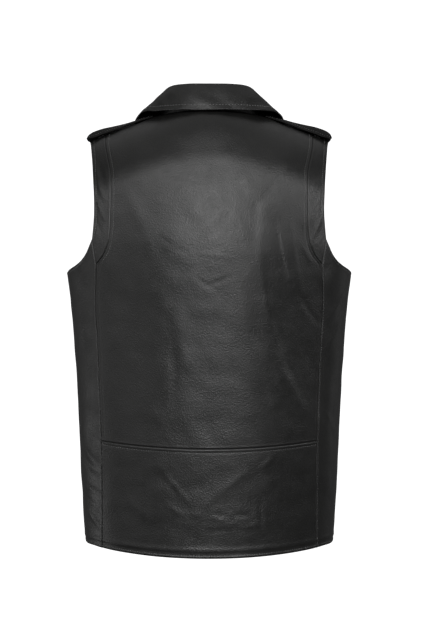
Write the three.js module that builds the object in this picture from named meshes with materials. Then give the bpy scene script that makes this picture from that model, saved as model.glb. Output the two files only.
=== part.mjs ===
// A sleeveless leather biker vest, filled out as if worn, with nobody in it.
//
// Frame: millimetres, +Z up, the back faces +Y and the zipped front faces -Y, the wearer's left is +X.
// The origin is midway between the two neck points of the shoulder seams, where the shoulders carry the vest.
//
// The leather is one torso form, written as a depth over height and width. Every panel is a thin wall
// on that form, cut along its own seams, and what lies on a panel is made from the same form, moved out.

import * as THREE from 'three';

// Driving sizes
const WALL = 2.0; // a garment leather with its turned backing
const SEAM_GAP = 0.3; // between two pieces at a seam
const STEP = 0.05; // between the places that a normal is worked out from
const SIDES = [{ name: 'left', hand: 1 }, { name: 'right', hand: -1 }];

// The torso at its widest, front to back, by height
const TORSO = [
  { z: 60, half: 196, back: 98, front: 92 },
  { z: -40, half: 200, back: 105, front: 98 },
  { z: -120, half: 207, back: 116, front: 110 },
  { z: -190, half: 213, back: 120, front: 121 },
  { z: -235, half: 212.5, back: 119, front: 125 },
  { z: -276, half: 207.3, back: 117, front: 125 },
  { z: -336, half: 202.2, back: 114.5, front: 123.5 },
  { z: -426, half: 196.5, back: 112.5, front: 120.5 },
  { z: -546, half: 191, back: 112, front: 118 },
  { z: -650, half: 184.2, back: 113, front: 117 },
];
const PLAN_POWER = 2.3; // 2 is an ellipse in plan, more is squarer

// The shoulder line, a level top that runs into an even slope, and how far the shoulder rounds off below it
const CREST = { top: 16.3, slope: 0.385, soft: 40 };
const ROUND = { back: 95, front: 130 };

// Heights and widths of the cut
const NECK_POINT_X = 75;
const BACK_NECK_Z = 1;
const HEM_Z = -635.5;
const BACK_HEM_DIP = 10.6;
const HEM_DIP_HALF_WIDTH = 170;
const HEM_DIP_POWER = 1.1;
const WAIST_SEAM_Z = -490;
const WAIST_SEAM_RISE = 9;
const WAIST_SEAM_HALF_WIDTH = 156;
const BAND_FOOT_Z = -226; // where the armhole band, the back and the side panel meet
const BREAK_Z = -222; // where the lapels start to fold open
const GORGE = { x: 60, z: -72 }; // where the collar ends and the lapel begins, on the fold
const ZIP_EDGE_X = 6.5;

// The long seam between the back and the side panel, from the band's foot down to the hem
const SIDE_SEAM = [
  { z: -226, x: 163.7 },
  { z: -292, x: 164.4 },
  { z: -338, x: 162 },
  { z: -422, x: 158.5 },
  { z: -481, x: 156.3 },
  { z: -560, x: 155 },
  { z: -650, x: 155 },
];
// The seam between the back and the armhole band
const BAND_SEAM = [
  { z: -30, x: 154.5 },
  { z: -49, x: 152.5 },
  { z: -70, x: 148.5 },
  { z: -100, x: 142.6 },
  { z: -152, x: 142.3 },
  { z: -192, x: 145.2 },
  { z: -212, x: 152.4 },
  { z: -226, x: 163.7 },
];
// The armhole's edge, behind and in front
const ARMHOLE_TIP_X = 180;
const BACK_ARMHOLE = [
  { z: -36, x: 179.5 },
  { z: -50, x: 175.5 },
  { z: -85, x: 170.8 },
  { z: -121, x: 168 },
  { z: -153, x: 167.2 },
  { z: -188, x: 169.8 },
];
const FRONT_ARMHOLE = [
  { z: -36, x: 179.5 },
  { z: -50, x: 174 },
  { z: -85, x: 164 },
  { z: -121, x: 158.5 },
  { z: -153, x: 157.5 },
  { z: -192, x: 164 },
];
// The armhole's foot, by the share of the side panel's width from the back seam to the front seam
const UNDERARM = [
  { share: 0, z: -188 },
  { share: 0.06, z: -210 },
  { share: 0.14, z: -222.5 },
  { share: 0.28, z: -230.3 },
  { share: 0.48, z: -234.5 },
  { share: 0.7, z: -229.5 },
  { share: 0.85, z: -218.5 },
  { share: 0.94, z: -207 },
  { share: 1, z: -192 },
];
// The seam between the side panel and the front
const FRONT_SIDE_SEAM = [
  { z: -192, x: 164 },
  { z: -292, x: 166 },
  { z: -422, x: 162 },
  { z: -560, x: 158 },
  { z: -650, x: 157 },
];

// The largest soft folds in the leather. Depth is below the form, width is across the fold's middle half,
// and the fold runs through its three points, fading out at both ends. Behind is 'back', in front 'front'.
const FOLDS = [
  { side: 'back', depth: 3.0, width: 11, points: [[-98, -170], [-119, -250], [-130, -360]] },
  { side: 'back', depth: 2.6, width: 13, points: [[-72, -258], [-88, -345], [-112, -455]] },
  { side: 'back', depth: 3.4, width: 24, points: [[122, -180], [104, -290], [92, -440]] },
  { side: 'back', depth: -2.2, width: 12, points: [[74, -518], [46, -545], [12, -575]] },
  { side: 'back', depth: -2.2, width: 12, points: [[-52, -522], [-28, -548], [6, -584]] },
  { side: 'back', depth: 2.0, width: 16, points: [[-60, -600], [0, -606], [62, -598]] },
  { side: 'front', depth: 2.6, width: 16, points: [[118, -250], [96, -330], [84, -430]] },
  { side: 'front', depth: 2.6, width: 16, points: [[-112, -262], [-100, -350], [-80, -450]] },
  { side: 'front', depth: 2.2, width: 16, points: [[100, -500], [66, -545], [40, -600]] },
  { side: 'front', depth: 2.2, width: 16, points: [[-110, -470], [-70, -530], [-44, -590]] },
];

const leather = (shade) => new THREE.MeshStandardMaterial({ color: shade, roughness: 0.45, metalness: 0 });
const panelLeather = leather(0x2b2b2a);
const trimLeather = leather(0x222221);
const tapeCloth = new THREE.MeshStandardMaterial({ color: 0x151515, roughness: 0.9, metalness: 0 });
const zipMetal = new THREE.MeshStandardMaterial({ color: 0x9a9a98, roughness: 0.3, metalness: 1 });

const lerp = (a, b, t) => a + (b - a) * t;

/** A smooth value of one column of a table, read at a value of another column. */
function column(table, at, wanted) {
  const rows = [...table].sort((a, b) => a[at] - b[at]);
  const last = rows.length - 1;
  const slope = (i) => {
    const low = rows[Math.max(i - 1, 0)];
    const high = rows[Math.min(i + 1, last)];
    return (high[wanted] - low[wanted]) / (high[at] - low[at]);
  };
  const slopes = rows.map((row, i) => slope(i));
  return (value) => {
    if (value <= rows[0][at]) return rows[0][wanted] + slopes[0] * (value - rows[0][at]);
    if (value >= rows[last][at]) return rows[last][wanted] + slopes[last] * (value - rows[last][at]);
    const i = rows.findIndex((row) => row[at] >= value) - 1;
    const span = rows[i + 1][at] - rows[i][at];
    const t = (value - rows[i][at]) / span;
    const from = (2 * t ** 3 - 3 * t ** 2 + 1) * rows[i][wanted] + (t ** 3 - 2 * t ** 2 + t) * span * slopes[i];
    const to = (3 * t ** 2 - 2 * t ** 3) * rows[i + 1][wanted] + (t ** 3 - t ** 2) * span * slopes[i + 1];
    return from + to;
  };
}

const halfWidth = column(TORSO, 'z', 'half');
const depthAt = { back: column(TORSO, 'z', 'back'), front: column(TORSO, 'z', 'front') };
const facing = { back: 1, front: -1 };
const sideSeamX = column(SIDE_SEAM, 'z', 'x');
const bandSeamX = column(BAND_SEAM, 'z', 'x');
const backArmholeX = column(BACK_ARMHOLE, 'z', 'x');
const frontArmholeX = column(FRONT_ARMHOLE, 'z', 'x');
const frontSideSeamX = column(FRONT_SIDE_SEAM, 'z', 'x');

const crest = (x) => CREST.top - CREST.slope * (Math.hypot(x, CREST.soft) - CREST.soft);
const fullDepth = (side, x, z) => {
  const share = Math.min(1, Math.abs(x) / halfWidth(z));
  return depthAt[side](z) * (1 - share ** PLAN_POWER) ** (1 / PLAN_POWER);
};

/** The point of the form at a width x, a distance `run` down from the shoulder line along its profile. */
function onTorso(side, x, run) {
  const radius = ROUND[side];
  const quarter = (radius * Math.PI) / 2;
  const turn = Math.min(run / radius, Math.PI / 2);
  const z = crest(x) - radius * (1 - Math.cos(turn)) - Math.max(0, run - quarter);
  return new THREE.Vector3(x, facing[side] * fullDepth(side, x, z) * Math.sin(turn), z);
}

/** How far down from the shoulder line a height z is, along the profile at x. */
function runTo(side, x, z) {
  const radius = ROUND[side];
  const drop = Math.max(0, crest(x) - z);
  return drop < radius ? radius * Math.acos(1 - drop / radius) : (radius * Math.PI) / 2 + drop - radius;
}

function torsoNormal(side, x, run) {
  const across = onTorso(side, x + STEP, run).sub(onTorso(side, x - STEP, run));
  const downward = onTorso(side, x, run + STEP).sub(onTorso(side, x, run - STEP));
  return across.cross(downward).multiplyScalar(facing[side]).normalize();
}

const FOLD_STEPS = 12; // places along a fold that a point is measured from
const FOLD_END = 0.08; // of half a wave, what is left of a fold at its ends

/** How far the folds push the leather in or out at a place on the form. */
function foldDepth(side, x, z) {
  let depth = 0;
  for (const fold of FOLDS) {
    if (fold.side !== side) continue;
    const [a, b, c] = fold.points;
    let nearest = Infinity;
    let share = 0;
    for (let i = 0; i <= FOLD_STEPS; i += 1) {
      const t = i / FOLD_STEPS;
      const px = (1 - t) ** 2 * a[0] + 2 * t * (1 - t) * b[0] + t ** 2 * c[0];
      const pz = (1 - t) ** 2 * a[1] + 2 * t * (1 - t) * b[1] + t ** 2 * c[1];
      const away = Math.hypot(x - px, z - pz);
      if (away < nearest) {
        nearest = away;
        share = t;
      }
    }
    const fade = Math.sin(Math.PI * lerp(FOLD_END, 1 - FOLD_END, share));
    depth += fold.depth * fade * Math.exp(-((nearest / fold.width) ** 2));
  }
  return depth;
}

/** A closed wall between a grid of outer points and the grid of inner points behind it. */
function closedWall(outer, inner, wraps = false) {
  const rows = outer.length;
  const columns = outer[0].length;
  const all = [...outer.flat(), ...inner.flat()];
  const outside = (i, j) => (i % rows) * columns + j;
  const inside = (i, j) => rows * columns + outside(i, j);
  const faces = [];
  const quad = (a, b, c, d) => faces.push([a, b, c], [a, c, d]);
  const spans = wraps ? rows : rows - 1;
  for (let i = 0; i < spans; i += 1) {
    for (let j = 0; j < columns - 1; j += 1) {
      quad(outside(i, j), outside(i, j + 1), outside(i + 1, j + 1), outside(i + 1, j));
      quad(inside(i, j), inside(i + 1, j), inside(i + 1, j + 1), inside(i, j + 1));
    }
    quad(outside(i, 0), outside(i + 1, 0), inside(i + 1, 0), inside(i, 0));
    const last = columns - 1;
    quad(outside(i, last), inside(i, last), inside(i + 1, last), outside(i + 1, last));
  }
  if (!wraps) {
    for (let j = 0; j < columns - 1; j += 1) {
      quad(outside(0, j), inside(0, j), inside(0, j + 1), outside(0, j + 1));
      quad(outside(rows - 1, j), outside(rows - 1, j + 1), inside(rows - 1, j + 1), inside(rows - 1, j));
    }
  }
  const volume = faces.reduce((sum, [a, b, c]) => sum + all[a].dot(all[b].clone().cross(all[c])), 0);
  const turned = volume < 0 ? faces.map(([a, b, c]) => [a, c, b]) : faces;
  const geometry = new THREE.BufferGeometry();
  geometry.setAttribute('position', new THREE.Float32BufferAttribute(all.flatMap((p) => [p.x, p.y, p.z]), 3));
  geometry.setIndex(turned.flat());
  geometry.computeVertexNormals();
  return geometry;
}

/** A wall of even thickness about a grid of middle points. */
function wallAbout(middle, thickness, wraps = false) {
  const rows = middle.length;
  const columns = middle[0].length;
  const row = (i) => (wraps ? middle[(i + rows) % rows] : middle[Math.min(Math.max(i, 0), rows - 1)]);
  const normal = (i, j) => {
    const along = row(i + 1)[j].clone().sub(row(i - 1)[j]);
    const across = row(i)[Math.min(j + 1, columns - 1)].clone().sub(row(i)[Math.max(j - 1, 0)]);
    return along.cross(across).normalize();
  };
  const moved = (by) => middle.map((line, i) => (
    line.map((p, j) => p.clone().addScaledVector(normal(i, j), by))
  ));
  return closedWall(moved(thickness / 2), moved(-thickness / 2), wraps);
}

const steps = (count) => Array.from({ length: count + 1 }, (value, i) => i / count);
const vest = new THREE.Group();

function add(name, geometry, material) {
  const mesh = new THREE.Mesh(geometry, material);
  mesh.name = name;
  vest.add(mesh);
}

/** A panel on the form: `place(row, column)` gives x and run on one side, for the wearer's left. */
function formPanel(name, side, hand, grid, material) {
  const at = (away) => grid.map((line) => line.map(({ x, run }) => {
    const point = onTorso(side, x, run);
    const normal = torsoNormal(side, x, run);
    point.addScaledVector(normal, away - foldDepth(side, hand * x, point.z));
    point.x *= hand;
    return point;
  }));
  add(name, closedWall(at(0), at(-WALL)), material);
}

// Heights of the cut edges
const waistSeamZ = (x) => WAIST_SEAM_Z + WAIST_SEAM_RISE * (x / WAIST_SEAM_HALF_WIDTH) ** 2;
const hemDip = (x) => Math.max(0, 1 - (x / HEM_DIP_HALF_WIDTH) ** 2) ** HEM_DIP_POWER;
const backHemZ = (x) => HEM_Z - BACK_HEM_DIP * hemDip(x);
const backNeckZ = (x) => lerp(BACK_NECK_Z, crest(NECK_POINT_X), (Math.abs(x) / NECK_POINT_X) ** 4);

// Rows shared by neighbouring panels, so that their seams meet point to point
const SKIRT_ROWS = steps(5); // hem to waist seam
const BODY_ROWS = steps(9); // waist seam to the band's foot
const BLADE_ROWS = steps(4); // band's foot to where the shoulder rounds off
const SHOULDER_ROWS = steps(7); // over the shoulder to its seam
const BACK_COLUMNS = steps(22).map((t) => 2 * t - 1); // from the right side seam, -1, to the left one, 1

// The lower back, from the hem up to the waist seam
const lowerRowEdge = (t) => sideSeamX(lerp(HEM_Z, waistSeamZ(WAIST_SEAM_HALF_WIDTH), t));
formPanel('back_waist_panel', 'back', 1, SKIRT_ROWS.map((t) => BACK_COLUMNS.map((s) => {
  const x = s * (lowerRowEdge(t) - SEAM_GAP / 2);
  const z = lerp(backHemZ(x), waistSeamZ(x) - SEAM_GAP / 2, t);
  return { x, run: runTo('back', x, z) };
})), panelLeather);

// The upper back, from the waist seam to the neck and the shoulder seams
const bodyRowEdge = (t) => sideSeamX(lerp(waistSeamZ(WAIST_SEAM_HALF_WIDTH), BAND_FOOT_Z, t));
const roundStart = (side, x) => crest(x) - ROUND[side];
const bladeRow = (x, t) => runTo('back', x, lerp(BAND_FOOT_Z, roundStart('back', x), t));
const bladeRowEdge = (t) => bandSeamX(lerp(BAND_FOOT_Z, roundStart('back', BAND_SEAM[3].x), t));
const shoulderSeamRun = (side, x) => (ROUND[side] * SEAM_GAP) / 2 / fullDepth(side, x, crest(x));
const shoulderTurn = (t) => Math.PI / 2 * (1 - t);
const shoulderRowEdge = (t) => bandSeamX(crest(BAND_SEAM[0].x) - ROUND.back * (1 - Math.cos(shoulderTurn(t))));
const backTopRun = (x) => (Math.abs(x) < NECK_POINT_X
  ? Math.max(runTo('back', x, backNeckZ(x)), shoulderSeamRun('back', x))
  : shoulderSeamRun('back', x));
const shoulderRow = (x, t, topRun) => lerp(ROUND.back * (Math.PI / 2), topRun, t);

const backRows = [
  ...BODY_ROWS.map((t) => ({
    edge: bodyRowEdge(t),
    run: (x) => runTo('back', x, lerp(waistSeamZ(x) + SEAM_GAP / 2, BAND_FOOT_Z, t)),
  })),
  ...BLADE_ROWS.slice(1).map((t) => ({ edge: bladeRowEdge(t), run: (x) => bladeRow(x, t) })),
  ...SHOULDER_ROWS.slice(1).map((t) => ({
    edge: shoulderRowEdge(t),
    run: (x) => shoulderRow(x, t, backTopRun(x)),
  })),
];
formPanel('back_panel', 'back', 1, backRows.map(({ edge, run }) => BACK_COLUMNS.map((s) => {
  const x = s * (edge - SEAM_GAP / 2);
  return { x, run: run(x) };
})), panelLeather);

// The armhole band, a strip down the back of the armhole that runs out in the side seam
const BAND_COLUMNS = steps(2);
const BAND_FOOT_TRIM = 0.4; // the band's pointed foot stops this far above the seams that meet there
const bandHead = { x: backArmholeX(BACK_ARMHOLE.at(-1).z), z: BACK_ARMHOLE.at(-1).z };
const bandRows = [
  ...BLADE_ROWS.map((t) => ({
    from: t === 0
      ? { x: sideSeamX(BAND_FOOT_Z) - SEAM_GAP / 2, run: bladeRow(sideSeamX(BAND_FOOT_Z), 0) - BAND_FOOT_TRIM }
      : { x: bladeRowEdge(t) + SEAM_GAP / 2, run: bladeRow(bladeRowEdge(t), t) },
    edgeZ: lerp(bandHead.z, roundStart('back', bandHead.x), t),
  })),
  ...SHOULDER_ROWS.slice(1).map((t) => ({
    from: {
      x: shoulderRowEdge(t) + SEAM_GAP / 2,
      run: shoulderRow(0, t, shoulderSeamRun('back', shoulderRowEdge(t))),
    },
    edgeZ: crest(ARMHOLE_TIP_X) - ROUND.back * (1 - Math.cos(shoulderTurn(t))),
    seam: t === 1,
  })),
];
for (const { name, hand } of SIDES) {
  formPanel(`armhole_band_${name}`, 'back', hand, bandRows.map(({ from, edgeZ, seam }) => {
    const edgeX = edgeZ <= bandHead.z ? bandHead.x - SEAM_GAP / 2 : backArmholeX(edgeZ);
    const edgeRun = seam ? shoulderSeamRun('back', edgeX) : runTo('back', edgeX, edgeZ);
    return BAND_COLUMNS.map((s) => ({ x: lerp(from.x, edgeX, s), run: lerp(from.run, edgeRun, s) }));
  }), panelLeather);
}

// The side panel, one piece round the flank from the back seam to the front seam
const HEM_LEVEL_SHARE = 0.14; // of the side panel's width from the back seam, where the hem is level again
const FLANK_TOP_ROWS = steps(2);
const hemSeamZ = backHemZ(sideSeamX(HEM_Z));
const flankBackZ = [
  ...SKIRT_ROWS.map((t) => lerp(hemSeamZ, waistSeamZ(WAIST_SEAM_HALF_WIDTH), t)),
  ...BODY_ROWS.slice(1).map((t) => lerp(waistSeamZ(WAIST_SEAM_HALF_WIDTH), BAND_FOOT_Z, t)),
  ...FLANK_TOP_ROWS.slice(1).map((t) => lerp(BAND_FOOT_Z, bandHead.z, t)),
];
const flankBackX = (z) => (z < BAND_FOOT_Z
  ? sideSeamX(z)
  : lerp(sideSeamX(BAND_FOOT_Z), bandHead.x, (z - BAND_FOOT_Z) / (bandHead.z - BAND_FOOT_Z)));
const flankRows = flankBackZ.map((z) => (z - hemSeamZ) / (bandHead.z - hemSeamZ));
const frontHead = FRONT_ARMHOLE.at(-1);
const planAngle = (x, z) => Math.asin(Math.min(1, x / halfWidth(z)) ** (PLAN_POWER / 2));

function onFlank(angle, z) {
  const side = angle < Math.PI / 2 ? 'back' : 'front';
  const across = Math.sin(angle) ** (2 / PLAN_POWER);
  const deep = Math.abs(Math.cos(angle)) ** (2 / PLAN_POWER);
  return new THREE.Vector3(halfWidth(z) * across, facing[side] * depthAt[side](z) * deep, z);
}

const flankGrid = flankRows.map((t, i) => UNDERARM.map(({ share, z: topZ }) => {
  const hemZ = lerp(hemSeamZ, HEM_Z, Math.min(1, share / HEM_LEVEL_SHARE));
  const z = lerp(hemZ, topZ, t);
  const backAngle = planAngle(flankBackX(flankBackZ[i]) + SEAM_GAP / 2, flankBackZ[i]);
  const frontZ = lerp(HEM_Z, frontHead.z, t);
  const frontAngle = Math.PI - planAngle(frontSideSeamX(frontZ) + SEAM_GAP / 2, frontZ);
  return { angle: lerp(backAngle, frontAngle, share), z };
}));
for (const { name, hand } of SIDES) {
  const at = (away) => flankGrid.map((line) => line.map(({ angle, z }) => {
    const turn = STEP / halfWidth(z);
    const round = onFlank(angle + turn, z).sub(onFlank(angle - turn, z));
    const up = onFlank(angle, z + STEP).sub(onFlank(angle, z - STEP));
    const normal = up.cross(round).normalize();
    const point = onFlank(angle, z);
    const side = angle < Math.PI / 2 ? 'back' : 'front';
    point.addScaledVector(normal, away - foldDepth(side, hand * point.x, z));
    point.x *= hand;
    return point;
  }));
  add(`side_panel_${name}`, closedWall(at(0), at(-WALL)), panelLeather);
}

// The fronts, from the hem to the shoulder seam. The inner edge follows the zip, the lapel's fold and the neck
const FRONT_COLUMNS = steps(9);
const ROLL_ROWS = steps(8);
const NECK_ROWS = steps(5);
const ROW_SPREAD = 1.6; // draws the rows together near the shoulder seam, where the form turns level
const neckEdge = (t) => ({
  x: lerp(NECK_POINT_X, GORGE.x, (1 - t) ** ROW_SPREAD),
  z: lerp(crest(NECK_POINT_X), GORGE.z, (1 - t) ** ROW_SPREAD),
});
const rollEdge = (t) => ({ x: lerp(ZIP_EDGE_X, GORGE.x, t), z: lerp(BREAK_Z, GORGE.z, t) });
const ROLL_LENGTH = Math.hypot(GORGE.x - ZIP_EDGE_X, GORGE.z - BREAK_Z);
const upperRows = ROLL_ROWS.length + NECK_ROWS.length - 2;
const frontEdgeZ = (t) => lerp(crest(ARMHOLE_TIP_X), frontHead.z, (1 - t) ** ROW_SPREAD);
const innerEdges = [...ROLL_ROWS.map(rollEdge), ...NECK_ROWS.slice(1).map(neckEdge)];
const frontRows = [
  ...flankRows.map((t) => ({
    inner: { x: ZIP_EDGE_X, z: lerp(HEM_Z, BREAK_Z, t) },
    outer: { x: frontSideSeamX(lerp(HEM_Z, frontHead.z, t)) - SEAM_GAP / 2, z: lerp(HEM_Z, frontHead.z, t) },
  })),
  ...innerEdges.slice(1).map((inner, k) => {
    const z = frontEdgeZ((k + 1) / upperRows);
    return { inner, outer: { x: frontArmholeX(z), z }, seam: k === upperRows - 1 };
  }),
];
const frontGrid = frontRows.map(({ inner, outer, seam }) => FRONT_COLUMNS.map((s) => {
  const x = lerp(inner.x, outer.x, s);
  const run = seam ? shoulderSeamRun('front', x) : runTo('front', x, lerp(inner.z, outer.z, s));
  return { x, run };
}));
for (const { name, hand } of SIDES) formPanel(`front_panel_${name}`, 'front', hand, frontGrid, panelLeather);

// The lapels, the tops of the fronts turned back over a soft fold. `in` runs from the fold towards the chest's
// middle, `out` is off the front's face, both to the middle of the wall.
const LAPEL = {
  fold: 2.8,
  foldFrom: 3,
  lies: 2.4,
  notch: { x: 90, z: -84 },
  tip: { x: 110, z: -120 },
  foot: { x: 11.5, z: -221 },
  belly: 5,
  notchShare: 0.6,
  footSize: 0.55,
  fullBy: 0.25,
  flatBy: 0.6,
};
const LAPEL_SEAM_DROP = 1.2; // the lapel's top edge lies this far below the collar's end
const TURN_STEPS = steps(4);
const LEAF_STEPS = steps(5);

/** A place on the front, moved off its face. */
function offFront(x, z, away) {
  const run = runTo('front', x, z);
  return onTorso('front', x, run).addScaledVector(torsoNormal('front', x, run), away);
}

function lapelOuter(t) {
  const bulge = LAPEL.belly * Math.sin(Math.PI * t);
  return { x: lerp(LAPEL.foot.x, LAPEL.tip.x, t) + bulge, z: lerp(LAPEL.foot.z, LAPEL.tip.z, t) - bulge };
}

/** The lapel's place over the front: 0 is the fold, 1 the outer edge. The top edge turns down at the notch. */
function lapelPlace(t, share) {
  const fold = rollEdge(t);
  const outer = lapelOuter(t);
  const straight = { x: lerp(fold.x, outer.x, share), z: lerp(fold.z, outer.z, share) };
  const before = share < LAPEL.notchShare;
  const along = before ? share / LAPEL.notchShare : (share - LAPEL.notchShare) / (1 - LAPEL.notchShare);
  const from = before ? fold : LAPEL.notch;
  const to = before ? LAPEL.notch : outer;
  const top = { x: lerp(from.x, to.x, along), z: lerp(from.z, to.z, along) };
  const pull = t ** 3;
  return { x: lerp(straight.x, top.x, pull), z: lerp(straight.z, top.z, pull) - LAPEL_SEAM_DROP * pull };
}

const lapelMiddle = ROLL_ROWS.map((t) => {
  const fold = rollEdge(t - (LAPEL_SEAM_DROP / ROLL_LENGTH) * t ** 3);
  const inward = new THREE.Vector2(BREAK_Z - GORGE.z, GORGE.x - ZIP_EDGE_X).normalize();
  const at = (inBy, outBy) => offFront(fold.x + inward.x * inBy, fold.z + inward.y * inBy, outBy);
  const size = lerp(LAPEL.footSize, 1, Math.min(1, t / LAPEL.fullBy));
  const radius = LAPEL.fold * size;
  const foldFrom = LAPEL.foldFrom * size;
  const line = [at(SEAM_GAP, -WALL / 2)];
  for (const s of TURN_STEPS) {
    const turn = Math.PI * (s - 0.5);
    line.push(at(foldFrom + radius * Math.cos(turn), radius - WALL / 2 + radius * Math.sin(turn)));
  }
  for (const s of LEAF_STEPS.slice(1)) {
    const { x, z } = lapelPlace(t, s);
    line.push(offFront(x, z, lerp(2 * radius - WALL / 2, LAPEL.lies, Math.min(1, s / LAPEL.flatBy))));
  }
  return line;
});
const mirrored = (grid, hand) => grid.map((line) => line.map((p) => new THREE.Vector3(hand * p.x, p.y, p.z)));
for (const { name, hand } of SIDES) {
  add(`lapel_${name}`, wallAbout(mirrored(lapelMiddle, hand), WALL), panelLeather);
}

// The collar, a stand that rises from the neck seam, a soft fold, and a leaf that falls over the shoulders.
// `share` runs along the neck seam from the middle of the back to the collar's front end; `face` is the way
// that the fold looks in plan, in degrees from +X.
const COLLAR = [
  { share: 0.0, foldX: 0, foldY: 60, foldZ: 36, edgeX: 0, edgeY: 82, edgeZ: -1.5, face: 90 },
  { share: 0.16, foldX: 32, foldY: 55.5, foldZ: 36, edgeX: 42, edgeY: 74, edgeZ: -1, face: 66 },
  { share: 0.32, foldX: 56, foldY: 38, foldZ: 35, edgeX: 79, edgeY: 52, edgeZ: 0.5, face: 40 },
  { share: 0.45, foldX: 67.5, foldY: 12, foldZ: 28.5, edgeX: 101, edgeY: 15, edgeZ: 2.5, face: 12 },
  { share: 0.57, foldX: 71, foldY: -14, foldZ: 17.5, edgeX: 111.5, edgeY: -14, edgeZ: -4.5, face: -14 },
  { share: 0.69, foldX: 70.5, foldY: -40, foldZ: 1, edgeX: 114, edgeY: -40, edgeZ: -18, face: -40 },
  { share: 0.83, foldX: 65, foldY: -70, foldZ: -30, edgeX: 118, edgeY: -66, edgeZ: -48, face: -66 },
  { share: 1.0, foldX: 56, foldY: -93.5, foldZ: -68.5, edgeX: 119, edgeY: -86.5, edgeZ: -86, face: -80 },
];
const LEAF_BULGE = 0.014; // of the leaf's depth, outwards between the fold and the edge
const COLLAR_FOLD_RADIUS = 2.8;
const COLLAR_HALF_STEPS = 18;
const STAND_STEPS = steps(3);
const COLLAR_TURN_STEPS = steps(5);
const COLLAR_LEAF_STEPS = steps(4);
const COLLAR_COLUMNS = ['foldX', 'foldY', 'foldZ', 'edgeX', 'edgeY', 'edgeZ', 'face'];
const collarAt = Object.fromEntries(COLLAR_COLUMNS.map((name) => [name, column(COLLAR, 'share', name)]));
const BACK_NECK_SHARE = 0.5; // of the neck seam that lies behind the shoulder seams

/** The neck seam, from the middle of the back round to the collar's front end. */
function neckSeam(share) {
  if (share < BACK_NECK_SHARE) {
    const angle = (share / BACK_NECK_SHARE) * (Math.PI / 2);
    const x = NECK_POINT_X * Math.sin(angle);
    return onTorso('back', x, runTo('back', x, backNeckZ(x)));
  }
  const { x, z } = neckEdge(1 - (share - BACK_NECK_SHARE) / (1 - BACK_NECK_SHARE));
  return onTorso('front', x, runTo('front', x, z));
}

const STAND_LIFT = 1.5; // the stand's foot stops this far inside the neck edge of the panels
function collarLine(share) {
  const mirror = share < 0 ? -1 : 1;
  const s = Math.abs(share);
  const seam = neckSeam(s);
  const fold = new THREE.Vector3(collarAt.foldX(s), collarAt.foldY(s), collarAt.foldZ(s));
  const edge = new THREE.Vector3(collarAt.edgeX(s), collarAt.edgeY(s), collarAt.edgeZ(s));
  const rise = fold.clone().sub(seam).normalize();
  const face = THREE.MathUtils.degToRad(collarAt.face(s));
  const out = new THREE.Vector3(Math.cos(face), Math.sin(face), 0);
  out.addScaledVector(rise, -out.dot(rise)).normalize();
  const foot = seam.clone().addScaledVector(rise, STAND_LIFT).addScaledVector(out, -WALL / 2 - SEAM_GAP);
  const standTop = fold.clone().addScaledVector(out, -COLLAR_FOLD_RADIUS);
  const line = STAND_STEPS.slice(0, -1).map((t) => foot.clone().lerp(standTop, t));
  const fall = edge.clone().sub(fold);
  const turned = Math.atan2(fall.dot(out), fall.dot(rise));
  for (const t of COLLAR_TURN_STEPS) {
    line.push(fold.clone()
      .addScaledVector(out, -COLLAR_FOLD_RADIUS * Math.cos(turned * t))
      .addScaledVector(rise, COLLAR_FOLD_RADIUS * Math.sin(turned * t)));
  }
  const from = line.at(-1);
  const bulge = LEAF_BULGE * from.distanceTo(edge);
  for (const t of COLLAR_LEAF_STEPS.slice(1)) {
    const away = bulge * Math.sin(Math.PI * t);
    line.push(from.clone().lerp(edge, t).addScaledVector(out, away).addScaledVector(rise, away));
  }
  return line.map((p) => p.setX(p.x * mirror));
}
const collarShares = steps(2 * COLLAR_HALF_STEPS).map((t) => 2 * t - 1);
add('collar', wallAbout(collarShares.map(collarLine), WALL), panelLeather);

// The epaulettes, stiff straps that bridge the shoulder from under the collar and turn down at the armhole.
// `arch` is how far a strap's two long edges hang below its middle line.
const STRAP = { thick: 3, halfWidth: 20 };
const STRAP_TOP = [
  { x: 84, z: 0.2, arch: 1.9 },
  { x: 98, z: -3.9, arch: 2.4 },
  { x: 110, z: -7.2, arch: 3.2 },
  { x: 122, z: -10.7, arch: 4.2 },
  { x: 134, z: -13.6, arch: 5.4 },
  { x: 146, z: -16.2, arch: 6.6 },
  { x: 158, z: -18.7, arch: 7.4 },
  { x: 168, z: -21.8, arch: 7.4 },
  { x: 175.4, z: -25.2, arch: 6.4 },
  { x: 180.4, z: -29, arch: 5.2 },
  { x: 183, z: -33.6, arch: 4.4 },
  { x: 183.3, z: -38, arch: 3.8 },
  { x: 182, z: -41.6, arch: 3.4 },
];
const STRAP_COLUMNS = steps(6).map((t) => 2 * t - 1);
const strapMiddle = STRAP_TOP.map(({ x, z, arch }, i) => {
  const before = STRAP_TOP[Math.max(i - 1, 0)];
  const after = STRAP_TOP[Math.min(i + 1, STRAP_TOP.length - 1)];
  const below = new THREE.Vector2(after.z - before.z, before.x - after.x).setLength(STRAP.thick / 2);
  return STRAP_COLUMNS.map((s) => (
    new THREE.Vector3(x + below.x, s * STRAP.halfWidth, z + below.y - arch * s ** 2)
  ));
});

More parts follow.
